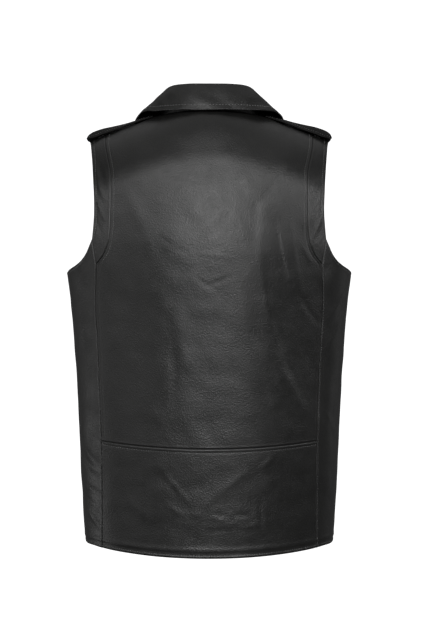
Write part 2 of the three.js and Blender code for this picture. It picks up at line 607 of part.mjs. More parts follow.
// The snap of each epaulette, a stud on the shoulder under the socket in the strap, closed
const SNAP = {
  x: 160, turn: -20, flange: 6.6, flangeHigh: 1, neck: 4, socket: 6.2, socketHigh: 2.6, high: 7.4, round: 0.6,
};
const snapProfile = [
  [0, 0],
  [SNAP.flange, 0],
  [SNAP.flange, SNAP.flangeHigh],
  [SNAP.neck, SNAP.flangeHigh + SNAP.round],
  [SNAP.neck, SNAP.high - SNAP.socketHigh - SNAP.round],
  [SNAP.socket, SNAP.high - SNAP.socketHigh],
  [SNAP.socket, SNAP.high],
  [0, SNAP.high],
].map(([r, h]) => new THREE.Vector2(r, h));
const SNAP_SEAT = 0.5; // of the flange's middle over the shoulder line
const SNAP_SIDES = 20;
for (const { name, hand } of SIDES) {
  add(`epaulette_${name}`, wallAbout(mirrored(strapMiddle, hand), STRAP.thick), trimLeather);
  const snap = new THREE.LatheGeometry(snapProfile, SNAP_SIDES);
  snap.rotateX(Math.PI / 2);
  snap.rotateY(THREE.MathUtils.degToRad(-hand * SNAP.turn));
  snap.translate(hand * SNAP.x, 0, crest(SNAP.x) + SNAP_SEAT);
  add(`epaulette_snap_${name}`, snap, zipMetal);
}

// The zip: two tapes behind the fronts' edges, the closed chain, its slider with a bow, and the pull
const ZIP = {
  tapeReach: 22, tapeFrom: -3.4, tapeTo: -2.4, chainHalf: 3, chainFrom: -2.1, chainTo: 0.6,
  foot: HEM_Z + 4, chainHead: -239, tapeHead: BREAK_Z - 4,
};
const ZIP_ROWS = steps(14);
const zipStrip = (from, to, inside, outside, head) => {
  const at = (away) => ZIP_ROWS.map((t) => [from, (from + to) / 2, to].map((x) => (
    offFront(x, lerp(ZIP.foot, head, t), away)
  )));
  return closedWall(at(outside), at(inside));
};
for (const { name, hand } of SIDES) {
  const edges = [SEAM_GAP / 2, ZIP.tapeReach].map((x) => hand * x);
  add(`zip_tape_${name}`, zipStrip(edges[0], edges[1], ZIP.tapeFrom, ZIP.tapeTo, ZIP.tapeHead), tapeCloth);
}
add('zip_chain', zipStrip(-ZIP.chainHalf, ZIP.chainHalf, ZIP.chainFrom, ZIP.chainTo, ZIP.chainHead), zipMetal);

const SLIDER = { half: 4.5, foot: -238.6, head: -224.6, outside: 2.0, inside: -2.0, waist: 3.4, chamfer: 0.8 };
const BOW = { half: 1.5, foot: -237.4, head: -225.8, base: 2.3, top: 7.2, leg: 1.6, roof: 1.4, chamfer: 0.6 };
const PULL = {
  pivotZ: -234.4, pivotOut: 4.0, bar: 0.8, eyeHalf: 2.2, eyeLength: 9.8, half: 3.7, endHalf: 4.6, length: 34,
};
const chestY = -depthAt.front(PULL.pivotZ);

/** Extrudes an outline, drawn in z and distance off the chest, across x. */
function acrossX(shape, half) {
  const solid = new THREE.ExtrudeGeometry(shape, { depth: 2 * half, bevelEnabled: false, curveSegments: 6 });
  solid.applyMatrix4(new THREE.Matrix4().makeBasis(
    new THREE.Vector3(0, 0, 1),
    new THREE.Vector3(0, -1, 0),
    new THREE.Vector3(1, 0, 0),
  ));
  return solid.translate(-half, chestY, 0);
}

/** Extrudes an outline, drawn in x and z, off the chest. */
function offChest(shape, inside, outside) {
  const depth = outside - inside;
  const solid = new THREE.ExtrudeGeometry(shape, { depth, bevelEnabled: false, curveSegments: 6 });
  solid.applyMatrix4(new THREE.Matrix4().makeBasis(
    new THREE.Vector3(1, 0, 0),
    new THREE.Vector3(0, 0, 1),
    new THREE.Vector3(0, -1, 0),
  ));
  return solid.translate(0, chestY - inside, 0);
}

const outline = (points) => new THREE.Shape(points.map(([a, b]) => new THREE.Vector2(a, b)));
add('zip_slider', offChest(outline([
  [-SLIDER.waist, SLIDER.foot],
  [SLIDER.waist, SLIDER.foot],
  [SLIDER.half, SLIDER.head - 5],
  [SLIDER.half - SLIDER.chamfer, SLIDER.head],
  [-SLIDER.half + SLIDER.chamfer, SLIDER.head],
  [-SLIDER.half, SLIDER.head - 5],
]), SLIDER.inside, SLIDER.outside), zipMetal);

add('zip_slider_bow', acrossX(outline([
  [BOW.foot, BOW.base],
  [BOW.foot + BOW.leg, BOW.base],
  [BOW.foot + BOW.leg, BOW.top - BOW.roof],
  [BOW.head - BOW.leg, BOW.top - BOW.roof],
  [BOW.head - BOW.leg, BOW.base],
  [BOW.head, BOW.base],
  [BOW.head - BOW.chamfer, BOW.top],
  [BOW.foot + BOW.chamfer, BOW.top],
]), BOW.half), zipMetal);

const pullOutline = outline([
  [-PULL.half, PULL.pivotZ + PULL.bar],
  [-PULL.endHalf, PULL.pivotZ - PULL.length + 4],
  [-PULL.endHalf + 2, PULL.pivotZ - PULL.length],
  [PULL.endHalf - 2, PULL.pivotZ - PULL.length],
  [PULL.endHalf, PULL.pivotZ - PULL.length + 4],
  [PULL.half, PULL.pivotZ + PULL.bar],
]);
pullOutline.holes.push(new THREE.Path([
  [-PULL.eyeHalf, PULL.pivotZ - PULL.bar],
  [PULL.eyeHalf, PULL.pivotZ - PULL.bar],
  [PULL.eyeHalf, PULL.pivotZ - PULL.eyeLength],
  [-PULL.eyeHalf, PULL.pivotZ - PULL.eyeLength],
].map(([a, b]) => new THREE.Vector2(a, b))));
add('zip_pull', offChest(pullOutline, PULL.pivotOut - PULL.bar, PULL.pivotOut + PULL.bar), zipMetal);

export default vest;
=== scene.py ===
# The looks of a sleeveless leather biker vest, filled out as if worn, with nobody in it.
# The back faces +Y and the camera, the zipped front faces -Y, and the wearer's left is +X.
# Sizes are in millimetres, and a mesh is scaled to metres as it is made.
import math

import bpy
import numpy as np
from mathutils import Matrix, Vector


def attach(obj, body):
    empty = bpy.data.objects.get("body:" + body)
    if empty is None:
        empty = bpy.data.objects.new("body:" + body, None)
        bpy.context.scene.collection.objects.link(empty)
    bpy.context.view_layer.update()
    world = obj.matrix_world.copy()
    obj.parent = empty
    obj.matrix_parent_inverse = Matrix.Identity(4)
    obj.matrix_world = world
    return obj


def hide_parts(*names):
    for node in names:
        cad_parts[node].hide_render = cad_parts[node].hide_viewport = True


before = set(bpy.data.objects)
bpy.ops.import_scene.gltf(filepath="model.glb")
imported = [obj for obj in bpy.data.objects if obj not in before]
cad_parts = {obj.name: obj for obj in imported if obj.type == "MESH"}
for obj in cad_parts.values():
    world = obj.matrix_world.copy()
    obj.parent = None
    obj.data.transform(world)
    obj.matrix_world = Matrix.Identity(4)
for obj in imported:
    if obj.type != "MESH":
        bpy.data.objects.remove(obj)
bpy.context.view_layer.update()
MM = 0.001

# Camera, light and floor
# The vest is seen level from behind, from the height of its middle. A wide softbox above the camera gives the
# sheen on the shoulder blades, a narrow one at its level the streak below, and dim ones the sides, the collar
# and the inside. The pale floor lies where feet would stand.
PIXEL = 1.5  # of the photograph, in millimetres at the vest's middle
IMAGE_HIGH = 638
CAMERA_AWAY = 2.2
SENSOR = 36


def put_in_scene(thing):
    bpy.context.scene.collection.objects.link(thing)
    return thing


def set_sockets(node, **values):
    """Constants, or outputs to follow, for a node's sockets, whose names have _ here for each space."""
    for name, value in values.items():
        socket = node.inputs[name.replace("_", " ")]
        if isinstance(value, bpy.types.NodeSocket):
            node.id_data.links.new(value, socket)
        else:
            socket.default_value = value
    return node


def new_material(name):
    material = bpy.data.materials.new(name)
    material.use_nodes = True
    tree = material.node_tree
    where = tree.nodes.new("ShaderNodeTexCoord").outputs["Object"]
    return material, tree, where


def coat(tree, **values):
    """Sockets of a material's surface shader."""
    set_sockets(tree.nodes["Principled BSDF"], **values)


camera_data = bpy.data.cameras.new("camera")
camera_data.sensor_width = SENSOR
camera_data.lens = SENSOR * CAMERA_AWAY / MM / (IMAGE_HIGH * PIXEL)
camera = bpy.data.objects.new("camera", camera_data)
camera.location = (-0.0048, CAMERA_AWAY, -0.3045)
camera.rotation_euler = (math.radians(90), 0, math.radians(180))
bpy.context.scene.camera = put_in_scene(camera)
bpy.context.scene.view_settings.view_transform = "Standard"


def softbox(name, place, aim, width, height, power):
    """An area light at a place, turned to its aim, in metres and watts."""
    data = bpy.data.lights.new(name, "AREA")
    data.shape = "RECTANGLE"
    data.size, data.size_y = width, height
    data.energy = power
    light = bpy.data.objects.new(name, data)
    light.location = place
    light.rotation_euler = (Vector(aim) - Vector(place)).to_track_quat("-Z", "Y").to_euler()
    return put_in_scene(light)


for light in (
    ("key_above", (-0.2, 2.5, 0.9), (0, 0, -0.2), 5.0, 0.82, 36),
    ("upper_left", (1.5, 2.2, 1.25), (0.1, 0, -0.1), 1.3, 0.45, 4.5),
    ("upper_right", (-1.7, 2.2, 1.2), (-0.1, 0, -0.1), 1.3, 0.45, 3.5),
    ("low_behind", (-0.1, 2.2, -1.3), (0, 0, -0.6), 0.9, 0.3, 0.9),
    ("key_top", (0.1, 2.3, 1.84), (0, 0, -0.1), 1.5, 0.8, 3.8),
    ("strip_behind", (-0.1, 2.7, 0.11), (0, 0, -0.2), 0.95, 0.8, 17.5),
    ("high_left", (2.4, 1.3, 0.6), (0.15, 0, -0.15), 0.9, 0.5, 6),
    ("high_right", (-2.4, 1.3, 0.55), (-0.15, 0, -0.15), 0.9, 0.5, 9),
    ("fill_left", (2.6, 0.9, -0.4), (0, 0, -0.3), 0.9, 1.4, 2.3),
    ("back_left", (1.9, 2.2, -0.4), (0, 0, -0.3), 1.2, 1.6, 3.5),
    ("low_left", (2.7, -0.1, -1.1), (0.18, 0, -0.5), 1.4, 0.6, 4.5),
    ("fill_right", (-2.6, 0.7, 0.1), (0, 0, -0.3), 0.8, 1.6, 1.0),
    ("side_left", (2.6, -1.1, -0.2), (0, 0, -0.3), 1.2, 1.6, 0.9),
    ("side_right", (-2.6, -1.1, -0.2), (0, 0, -0.3), 1.2, 1.6, 1.3),
    ("ceiling", (0, -0.3, 2.2), (0, -0.3, 0), 4.0, 4.0, 15),
):
    softbox(*light)

# The front has a key and a fill of its own, flagged off the back and the shoulders
FRONT_NAMES = ("front", "lapel", "zip", "slider", "pull")
front_pieces = bpy.data.collections.new("front_pieces")
for light in (
    softbox("front_above", (0.1, -2.5, 0.66), (0, 0, -0.2), 3.0, 0.5, 42),
    softbox("front_strip", (0.3, -2.7, 0.05), (0, 0, -0.2), 0.8, 0.9, 16),
):
    light.light_linking.receiver_collection = front_pieces

world = bpy.data.worlds.new("studio")
world.use_nodes = True
set_sockets(world.node_tree.nodes["Background"], Color=(1, 1, 1, 1), Strength=0.1)
bpy.context.scene.world = world


def stage_piece(name, **values):
    """What was just made becomes a painted piece of the stage, seen by the camera and not by the leather."""
    piece = bpy.context.active_object
    piece.name = name
    paint, tree, _ = new_material(f"{name}_paint")
    coat(tree, **values)
    piece.data.materials.append(paint)
    piece.visible_glossy = False
    piece.visible_diffuse = False
    return piece


PALE, WHITE = (0.86, 0.86, 0.86, 1), (1, 1, 1, 1)
bpy.ops.mesh.primitive_circle_add(vertices=128, radius=2.5, fill_type="NGON", location=(0, 0, -1.45))
stage_piece("floor", Base_Color=PALE, Roughness=0.9, Emission_Color=WHITE, Emission_Strength=0.62)
bpy.ops.mesh.primitive_uv_sphere_add(segments=32, ring_count=16, radius=14, location=(0, 0, -0.3))
backdrop = stage_piece("backdrop", Base_Color=WHITE, Emission_Color=WHITE, Emission_Strength=1.1)
backdrop.visible_transmission = False
backdrop.visible_shadow = False

# Upper back
# One large panel of black grained leather from the waist seam to the neck and the shoulder seams. Its edges
# are turned under at the seams, and a row of stitches runs beside each armhole band.
def table(columns, *rows):
    """Rows of numbers under the names of their columns."""
    return [dict(zip(columns.split(), row)) for row in rows]


SIDES = (("left", 1), ("right", -1))
WALL, LEAST_WALL = 2.0, 0.7
SEAM_GAP = -0.7  # under 0, as the turned edges press into each other
TORSO = table(
    "z half back front",
    (-650, 184.2, 113, 117),
    (-546, 191, 112, 118),
    (-426, 196.5, 112.5, 120.5),
    (-336, 202.2, 114.5, 123.5),
    (-276, 207.3, 117, 125),
    (-235, 212.5, 119, 125),
    (-190, 213, 120, 121),
    (-120, 207, 116, 110),
    (-40, 200, 105, 98),
    (60, 196, 98, 92),
)
PLAN_POWER = 2.3
CREST_TOP, CREST_SLOPE, CREST_SOFT = 16.3, 0.385, 40
ROUND = {"back": 95, "front": 130}
FACING = {"back": 1, "front": -1}
NECK_POINT_X = 75
BACK_NECK_Z = 1
HEM_Z = -635.5
WAIST_Z, WAIST_RISE, WAIST_HALF = -490, 9, 156
FOOT_Z = -226
NAPE_FULL, NAPE_RISES, NAPE_FALLS, NAPE_HALF = 6, 10, 54, 76  # the leather lies fuller below the collar
SIDE_SEAM = table(
    "z x",
    (-650, 155), (-560, 155), (-481, 156.3), (-422, 158.5), (-338, 162), (-292, 164.4),
    (-226, 163.7),
)
BAND_SEAM = table(
    "z x",
    (-226, 163.7), (-212, 152.4), (-192, 145.2), (-152, 142.3), (-100, 142.6), (-70, 148.5),
    (-49, 152.5), (-30, 154.5),
)
# Each fold or crease has its depth (under 0 it is a ridge), its width, and three places (x, z) of its path
BACK_FOLDS = [
    (2.2, 28, (122, -180), (104, -290), (92, -440)),
    (-0.3, 10, (-62, -512), (-30, -548), (6, -590)),
]
BACK_DRAPES = [
    {"fall": 2.6, "soft": 7, "slope": 12, "reach": 36, "points": [(-112, -120), (-116, -214), (-142, -310)]},
    {"fall": 4.0, "soft": 7, "slope": 14, "reach": 44, "points": [(-70, -150), (-66, -352), (-172, -480)]},
]
BACK_CREASES = [
    (1.1, 3.2, (-94, -166), (-102, -214), (-114, -262)),
    (1.0, 3.6, (-128, -262), (-140, -290), (-157, -310)),
    (-0.5, 3.0, (-134, -196), (-141, -216), (-150, -226)),
    (0.5, 1.8, (72, -184), (60, -196), (52, -200)),
    (0.6, 1.6, (46, -205), (38, -209), (30, -208)),
    (-0.5, 1.8, (13, -211), (-10, -214), (-34, -219)),
    (0.35, 1.6, (73, -97), (30, -101), (-3, -121)),
    (-0.3, 2.0, (-20, -108), (-36, -106), (-52, -107)),
    (0.5, 2.0, (22, -243), (6, -256), (-14, -266)),
    (0.5, 2.0, (4, -257), (-16, -252), (-34, -243)),
    (0.5, 7.0, (60, -300), (44, -360), (52, -430)),
    (-0.25, 9.0, (-40, -240), (-52, -300), (-62, -370)),
    (0.35, 9.0, (96, -240), (84, -320), (98, -400)),
    (-0.5, 8.0, (120, -120), (96, -160), (76, -230)),
    (0.5, 8.0, (-104, -90), (-86, -126), (-62, -150)),
    (0.35, 8.0, (-60, -84), (-70, -150), (-64, -220)),
    (0.8, 5.0, (-84, -300), (-104, -370), (-142, -430)),
    (-0.5, 6.0, (-112, -300), (-124, -350), (-148, -390)),
]


def column(table, at, wanted):
    """A smooth value of one column of a table, read at values of another column."""
    places = np.array([row[at] for row in table], float)
    values = np.array([row[wanted] for row in table], float)
    low = np.maximum(np.arange(len(places)) - 1, 0)
    high = np.minimum(np.arange(len(places)) + 1, len(places) - 1)
    slopes = (values[high] - values[low]) / (places[high] - places[low])

    def read(place):
        place = np.asarray(place, float)
        i = np.clip(np.searchsorted(places, place) - 1, 0, len(places) - 2)
        span = places[i + 1] - places[i]
        t = np.clip((place - places[i]) / span, 0, 1)
        start = (2 * t**3 - 3 * t**2 + 1) * values[i] + (t**3 - 2 * t**2 + t) * span * slopes[i]
        end = (3 * t**2 - 2 * t**3) * values[i + 1] + (t**3 - t**2) * span * slopes[i + 1]
        below = np.minimum(place - places[0], 0) * slopes[0]
        above = np.maximum(place - places[-1], 0) * slopes[-1]
        return start + end + below + above

    return read


half_width = column(TORSO, "z", "half")
depth_at = {"back": column(TORSO, "z", "back"), "front": column(TORSO, "z", "front")}
side_seam_x = column(SIDE_SEAM, "z", "x")
band_seam_x = column(BAND_SEAM, "z", "x")


def crest(x):
    return CREST_TOP - CREST_SLOPE * (np.hypot(x, CREST_SOFT) - CREST_SOFT)


def full_depth(side, x, z):
    share = np.clip(np.abs(x) / half_width(z), 0, 0.99999)
    return depth_at[side](z) * (1 - share**PLAN_POWER) ** (1 / PLAN_POWER)


def on_torso(side, x, run):
    """Places on the form, at widths x, a distance run down its profile from the shoulder line."""
    radius = ROUND[side]
    turn = np.minimum(run / radius, math.pi / 2)
    z = crest(x) - radius * (1 - np.cos(turn)) - np.maximum(0, run - radius * math.pi / 2)
    return np.stack([x + 0 * z, FACING[side] * full_depth(side, x, z) * np.sin(turn), z], -1)


def run_to(side, x, z):
    radius = ROUND[side]
    drop = np.maximum(0, crest(x) - z)
    rounded = radius * np.arccos(np.clip(1 - drop / radius, -1, 1))
    return np.where(drop < radius, rounded, radius * (math.pi / 2 - 1) + drop)


def unit(v):
    return v / np.maximum(np.linalg.norm(v, axis=-1, keepdims=True), 1e-9)


def torso_normal(side, x, run):
    across = on_torso(side, x + 0.05, run) - on_torso(side, x - 0.05, run)
    down = on_torso(side, x, run + 0.05) - on_torso(side, x, run - 0.05)
    return unit(np.cross(across, down) * FACING[side])


def off_path(points, x, z):
    """How far places are from a curve, the share of the way along it, and whether they are on its -X side."""
    a, b, c = (np.array(p, float) for p in points)
    t = np.linspace(0, 1, 13)[:, None]
    path = (1 - t) ** 2 * a + 2 * t * (1 - t) * b + t**2 * c
    away = np.full(np.shape(x), np.inf)
    share = np.zeros(np.shape(x))
    beyond = np.zeros(np.shape(x), bool)
    for i, ((px, pz), (dx, dz)) in enumerate(zip(path[:-1], np.diff(path, axis=0))):
        s = np.clip(((x - px) * dx + (z - pz) * dz) / (dx * dx + dz * dz), 0, 1)
        d = np.hypot(x - px - s * dx, z - pz - s * dz)
        nearer = d < away
        share = np.where(nearer, (i + s) / (len(path) - 1), share)
        beyond = np.where(nearer, x < px + s * dx, beyond)
        away = np.minimum(away, d)
    return away, share, beyond


def bell(far):
    return np.exp(-(far**2))


def eased(t):
    return t**2 * (3 - 2 * t)


def fold_depth(folds, x, z):
    """How deep the folds lie at places seen from their own side."""
    total = np.zeros(np.shape(x))
    for depth, width, *points in folds:
        away, share, _ = off_path(points, x, z)
        fade = np.sin(math.pi * (0.08 + 0.84 * share))
        total += depth * fade * bell(away / width)
    return total


def drape_depth(drapes, x, z):
    """Where the leather drops off beside a line, on its -X side, and comes back slowly."""
    depth = np.zeros(np.shape(x))
    for drape in drapes:
        away, share, beyond = off_path(drape["points"], x, z)
        off = np.where(beyond, away, 0)
        falls = eased(np.clip(off / drape["soft"], 0, 1)) * (1 - np.exp(-off / drape["slope"]))
        fade = np.sin(math.pi * share) ** 2
        depth += drape["fall"] * fade * falls * bell(off / drape["reach"])
    return depth


RIPPLE_WAVES = 28


def ripple(seed, x, z, size, height):
    """A soft unevenness of hide stretched over a body, from waves that run in all ways."""
    dice = np.random.default_rng(seed)
    total = np.zeros(np.shape(x))
    for _ in range(RIPPLE_WAVES):
        way = dice.uniform(0, math.pi)
        length = size * dice.uniform(0.6, 1.8)
        run = x * math.cos(way) + z * math.sin(way)
        total += np.sin(run * 2 * math.pi / length + dice.uniform(0, 6.28))
    return height * total / math.sqrt(RIPPLE_WAVES)


TURNED = 11.6  # how far in from an edge the leather is doubled


def stops(length, pitch):
    """Shares of a length at an even pitch, closer at both ends, where the leather is turned."""
    edge = np.array([0, 0.5, 1.0, 1.6, 2.3, 3.1, 4.0, 4.9, 5.8, 6.8, 8.0, 9.6])
    inside = np.linspace(TURNED, length - TURNED, max(2, int((length - 23) / pitch)))
    return np.concatenate([edge, inside, length - edge[::-1]]) / length


def edge_distances(places):
    """How far each place of a grid lies from the grid's four edges, along its rows and columns."""
    along = np.linalg.norm(np.diff(places, axis=0), axis=-1)
    across = np.linalg.norm(np.diff(places, axis=1), axis=-1)
    first = np.concatenate([np.zeros((1, places.shape[1])), np.cumsum(along, 0)], 0)
    left = np.concatenate([np.zeros((places.shape[0], 1)), np.cumsum(across, 1)], 1)
    return {"first": first, "last": first[-1:] - first, "left": left, "right": left[:, -1:] - left}


def turned_edge(d, drop, puff, stitch):
    """Depth beside an edge, where the leather rolls under, swells next to it and dips at the stitches."""
    depth = drop * bell(d / 0.8) - puff * bell((d - 2.6) / 1.5)
    if stitch:
        depth = depth + 0.18 * bell((d - stitch) / 0.7) - 0.05 * bell((d - stitch - 2) / 1.2)
    return depth


def with_edges(depth, far, edges):
    for edge, values in edges.items():
        depth = depth + turned_edge(far[edge], *values)
    return depth


def mesh_piece(name, places, faces, *materials):
    """A new piece of the scene, from places in metres and its faces."""
    mesh = bpy.data.meshes.new(name)
    mesh.from_pydata(places.tolist(), [], faces)
    for material in materials:
        mesh.materials.append(material)
    mesh.update()
    return put_in_scene(bpy.data.objects.new(name, mesh))


def fit(piece, body, node=None):
    """What carries a piece, and the solid in whose place it stands."""
    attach(piece, body)
    if node:
        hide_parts(node)
    if piece.name.startswith(FRONT_NAMES):
        front_pieces.objects.link(piece)


def repeated(faces, size, count):
    """The faces of a small mesh of so many places, for each of its copies."""
    return [tuple(start + k for k in face) for start in range(0, size * count, size) for face in faces]


def grids(rows):
    """Two grids of values, from rows that hold a line of each."""
    return np.array(rows).swapaxes(0, 1)


def mirrored(places, hand):
    return places * np.array([hand, 1, 1])


def run_along(points):
    return np.concatenate([[0], np.cumsum(np.linalg.norm(np.diff(points, axis=0), axis=-1))])


def grid_normals(places):
    return unit(np.cross(np.gradient(places, axis=0), np.gradient(places, axis=1)))


def shell(name, outer, inner, outside, inside):
    """One closed leather wall between two grids of places, with a material for each face."""
    rows, columns = outer.shape[:2]
    count = rows * columns
    corner = np.arange(count).reshape(rows, columns)
    a, b, c, d = corner[:-1, :-1], corner[:-1, 1:], corner[1:, 1:], corner[1:, :-1]
    front = np.stack([a, b, c, d], -1).reshape(-1, 4)
    back = np.stack([a, d, c, b], -1).reshape(-1, 4) + count
    ring = np.concatenate([corner[0], corner[1:, -1], corner[-1, -2::-1], corner[-2:0:-1, 0]])
    after = np.roll(ring, -1)
    rim = np.stack([after, ring, ring + count, after + count], -1)
    faces = np.concatenate([front, back, rim])
    places = np.concatenate([outer.reshape(-1, 3), inner.reshape(-1, 3)]) * MM
    p = places[faces]
    volume = np.einsum("ij,ij->i", p[:, 0], np.cross(p[:, 1], p[:, 2]) + np.cross(p[:, 2], p[:, 3])).sum()
    if volume < 0:
        faces = faces[:, ::-1]
    piece = mesh_piece(name, places, faces.tolist(), outside, inside)
    slots = np.zeros(len(faces), np.int32)
    slots[len(front):len(front) + len(back)] = 1
    piece.data.polygons.foreach_set("material_index", slots)
    piece.data.polygons.foreach_set("use_smooth", np.ones(len(faces), bool))
    piece.data.update()
    return piece


def line_at(grid, distance, inset, edge, shown=slice(None)):
    """The line of places of a grid that lie a distance in from one of its edges."""
    if edge in ("left", "right"):
        grid, distance = grid.swapaxes(0, 1), distance.swapaxes(0, 1)
    points = []
    for j in range(grid.shape[1]):
        order = np.argsort(distance[:, j])
        points.append([np.interp(inset, distance[order, j], grid[order, j, k]) for k in range(3)])
    return np.array(points)[shown]


def sewn(name, lines, radius, pitch, length):
    """Rows of single stitches: each is a short bead of thread that dips into the leather at its ends."""
    ring = [(math.cos(a), math.sin(a)) for a in np.linspace(0, 2 * math.pi, 6)[:-1]]
    bead = [(-0.5 * length, 0, -0.3)]
    for s in (-0.28, 0.28):
        bead += [(s * length, radius * u, 0.12 + radius * w) for u, w in ring]
    bead.append((0.5 * length, 0, -0.3))
    bead = np.array(bead)
    faces = [(0, 2 + (i % 5) if i < 4 else 1, 1 + i) for i in range(5)]
    faces += [(1 + i, 1 + (i + 1) % 5, 6 + (i + 1) % 5, 6 + i) for i in range(5)]
    faces += [(11, 6 + i, 6 + (i + 1) % 5) for i in range(5)]
    places = []
    for points, normals in lines:
        run = run_along(points)
        middles = np.arange(pitch, run[-1] - pitch / 2, pitch)
        if not len(middles):
            continue
        at = np.stack([np.interp(middles, run, points[:, k]) for k in range(3)], -1)
        ahead = np.stack([np.interp(middles + 0.5, run, points[:, k]) for k in range(3)], -1)
        out = unit(np.stack([np.interp(middles, run, normals[:, k]) for k in range(3)], -1))
        along = unit(ahead - at)
        out = unit(out - along * np.einsum("ij,ij->i", out, along)[:, None])
        across = np.cross(out, along)
        for p, t, b, n in zip(at, along, across, out):
            places.append(p + bead[:, :1] * t + bead[:, 1:2] * b + bead[:, 2:] * n)
    faces = repeated(faces, len(bead), len(places))
    piece = mesh_piece(name, np.concatenate(places) * MM, faces, thread)
    piece.data.polygons.foreach_set("use_smooth", np.ones(len(faces), bool))
    piece.data.update()
    return piece


def new_node(tree, kind, **values):
    return set_sockets(tree.nodes.new(kind), **values)


def noise(tree, where, scale, detail, roughness=0.5):
    values = {"Vector": where, "Scale": scale, "Detail": detail, "Roughness": roughness}
    return new_node(tree, "ShaderNodeTexNoise", **values).outputs


def coloured(tree, by, low, dark, high, light):
    """The base colour goes from dark to light as a pattern goes from low to high."""
    tone = tree.nodes.new("ShaderNodeValToRGB")
    for end, place, colour in zip(tone.color_ramp.elements, (low, high), (dark, light)):
        end.position = place
        end.color = (*colour, 1)
    set_sockets(tone, Fac=by)
    coat(tree, Base_Color=tone.outputs["Color"])


def glossed(tree, by, **limits):
    """The roughness follows a pattern, between limits."""
    coat(tree, Roughness=new_node(tree, "ShaderNodeMapRange", Value=by, **limits).outputs["Result"])


def embossed(tree, *layers):
    """Fine relief in layers, each with the pattern it follows, its strength and its reach in metres."""
    normal = None
    for pattern, strength, reach in layers:
        bump = new_node(tree, "ShaderNodeBump", Height=pattern, Strength=strength, Distance=reach)
        if normal:
            set_sockets(bump, Normal=normal)
        normal = bump.outputs["Normal"]
    coat(tree, Normal=normal)


def grained_leather(name, dark, light, grain, gloss, specular=0.5):
    """Finished cowhide, with a pebble grain, a net of pores and wrinkles, and cloudy gloss and colour."""
    material, tree, where = new_material(name)
    bent = tree.nodes.new("ShaderNodeVectorMath")
    bent.operation = "MULTIPLY_ADD"
    bent.inputs[1].default_value = (0.0012, 0.0012, 0.0012)
    tree.links.new(noise(tree, where, 60.0, 3.0)["Color"], bent.inputs[0])
    tree.links.new(where, bent.inputs[2])

    net = new_node(tree, "ShaderNodeTexVoronoi", Vector=bent.outputs[0], Scale=150.0)
    net.feature = "DISTANCE_TO_EDGE"
    valleys = new_node(tree, "ShaderNodeMapRange", Value=net.outputs["Distance"], From_Max=0.16)
    pebble = new_node(tree, "ShaderNodeTexVoronoi", Vector=bent.outputs[0], Scale=640.0)
    pebble.feature = "SMOOTH_F1"

    cloud = noise(tree, where, 14.0, 5.0, 0.62)["Fac"]
    soft = noise(tree, where, 75.0, 4.0, 0.6)["Fac"]
    coloured(tree, cloud, 0.3, dark, 0.72, light)
    glossed(tree, soft, From_Min=0.3, From_Max=0.7, To_Min=gloss - 0.04, To_Max=gloss + 0.05)
    coat(tree, Specular_IOR_Level=specular)
    embossed(
        tree,
        (soft, 0.02, 0.0012),
        (valleys.outputs["Result"], 0.03 * grain, 0.0004),
        (pebble.outputs["Distance"], 0.5 * grain, 0.0005),
    )
    return material


# The flesh side of the leather is brushed short and dyed black, with a soft nap
flesh_side, tree, where = new_material("flesh_side")
patches = noise(tree, where, 22.0, 4.0, 0.6)["Fac"]
coloured(tree, patches, 0.3, (0.012, 0.012, 0.0115), 0.75, (0.024, 0.0235, 0.0225))
coat(tree, Roughness=0.85, Sheen_Weight=0.15)
embossed(tree, (noise(tree, where, 900.0, 4.0, 0.7)["Fac"], 0.4, 0.0004))

# The thread is black and bonded, with the twist of its plies. Its colour is painted lighter than black, a
# painted highlight that stands in for the glints on the stitches.
thread, tree, where = new_material("thread")
plies = noise(tree, where, 1400.0, 2.0)["Fac"]
coloured(tree, plies, 0, (0.09, 0.09, 0.09), 1, (0.2, 0.2, 0.198))
coat(tree, Roughness=0.3)
embossed(tree, (plies, 0.3, 0.0002))
panel_leather = grained_leather("panel_leather", (0.006, 0.006, 0.0057), (0.010, 0.010, 0.0096), 1.0, 0.35)


def panel_wall(name, node, places, normals, depth, lining_depth, hand):
    """A panel's leather wall, each face at its depth below the form. Returns its outer grid and normals."""
    outer = mirrored(places - normals * depth[..., None], hand)
    inner_depth = np.maximum(WALL + lining_depth, depth + LEAST_WALL)
    inner = mirrored(places - normals * inner_depth[..., None], hand)
    piece = shell(name, outer, inner, panel_leather, flesh_side)
    fit(piece, "vest", node)
    return outer, mirrored(normals, hand)


def torso_panel(name, node, side, hand, x, run, edges, folds, seed, ridge=0):
    """A panel on the form, with its folds and turned edges. Returns its outer grid, distances and normals."""
    places, normals = on_torso(side, x, run), torso_normal(side, x, run)
    far = edge_distances(places)
    z = places[..., 2]
    fold = fold_depth(folds, hand * x, z)
    if side == "back":
        fold = fold + drape_depth(BACK_DRAPES, hand * x, z)
    else:
        fold = fold * (1 - bell(far["right"] / 16))
    depth = fold + ripple(seed, hand * x, z, 46, 0.2) + ripple(seed + 1, hand * x, z, 15, 0.03)
    depth = with_edges(depth, far, edges) + (ridge(far) if callable(ridge) else ridge)
    outer, normals = panel_wall(name, node, places, normals, depth, fold, hand)
    return outer, far, normals


def stitched(name, outer, far, normals, rows, radius=0.42, pitch=3.6, length=1.7):
    """Rows of stitches on a piece, each with the edge it follows, how far in it is, and where it shows."""
    lines = []
    for edge, inset, *shown in rows:
        lines.append([line_at(grid, far[edge], inset, edge, *shown) for grid in (outer, normals)])
    piece = sewn(name, lines, radius, pitch, length)
    fit(piece, "vest")


def waist_z(x):
    return WAIST_Z + WAIST_RISE * (x / WAIST_HALF) ** 2


def round_start(side, x):
    return crest(x) - ROUND[side]


def seam_run(side, x):
    return ROUND[side] * SEAM_GAP / 2 / full_depth(side, x, crest(x))


def mix(a, b, t):
    return a + (b - a) * t


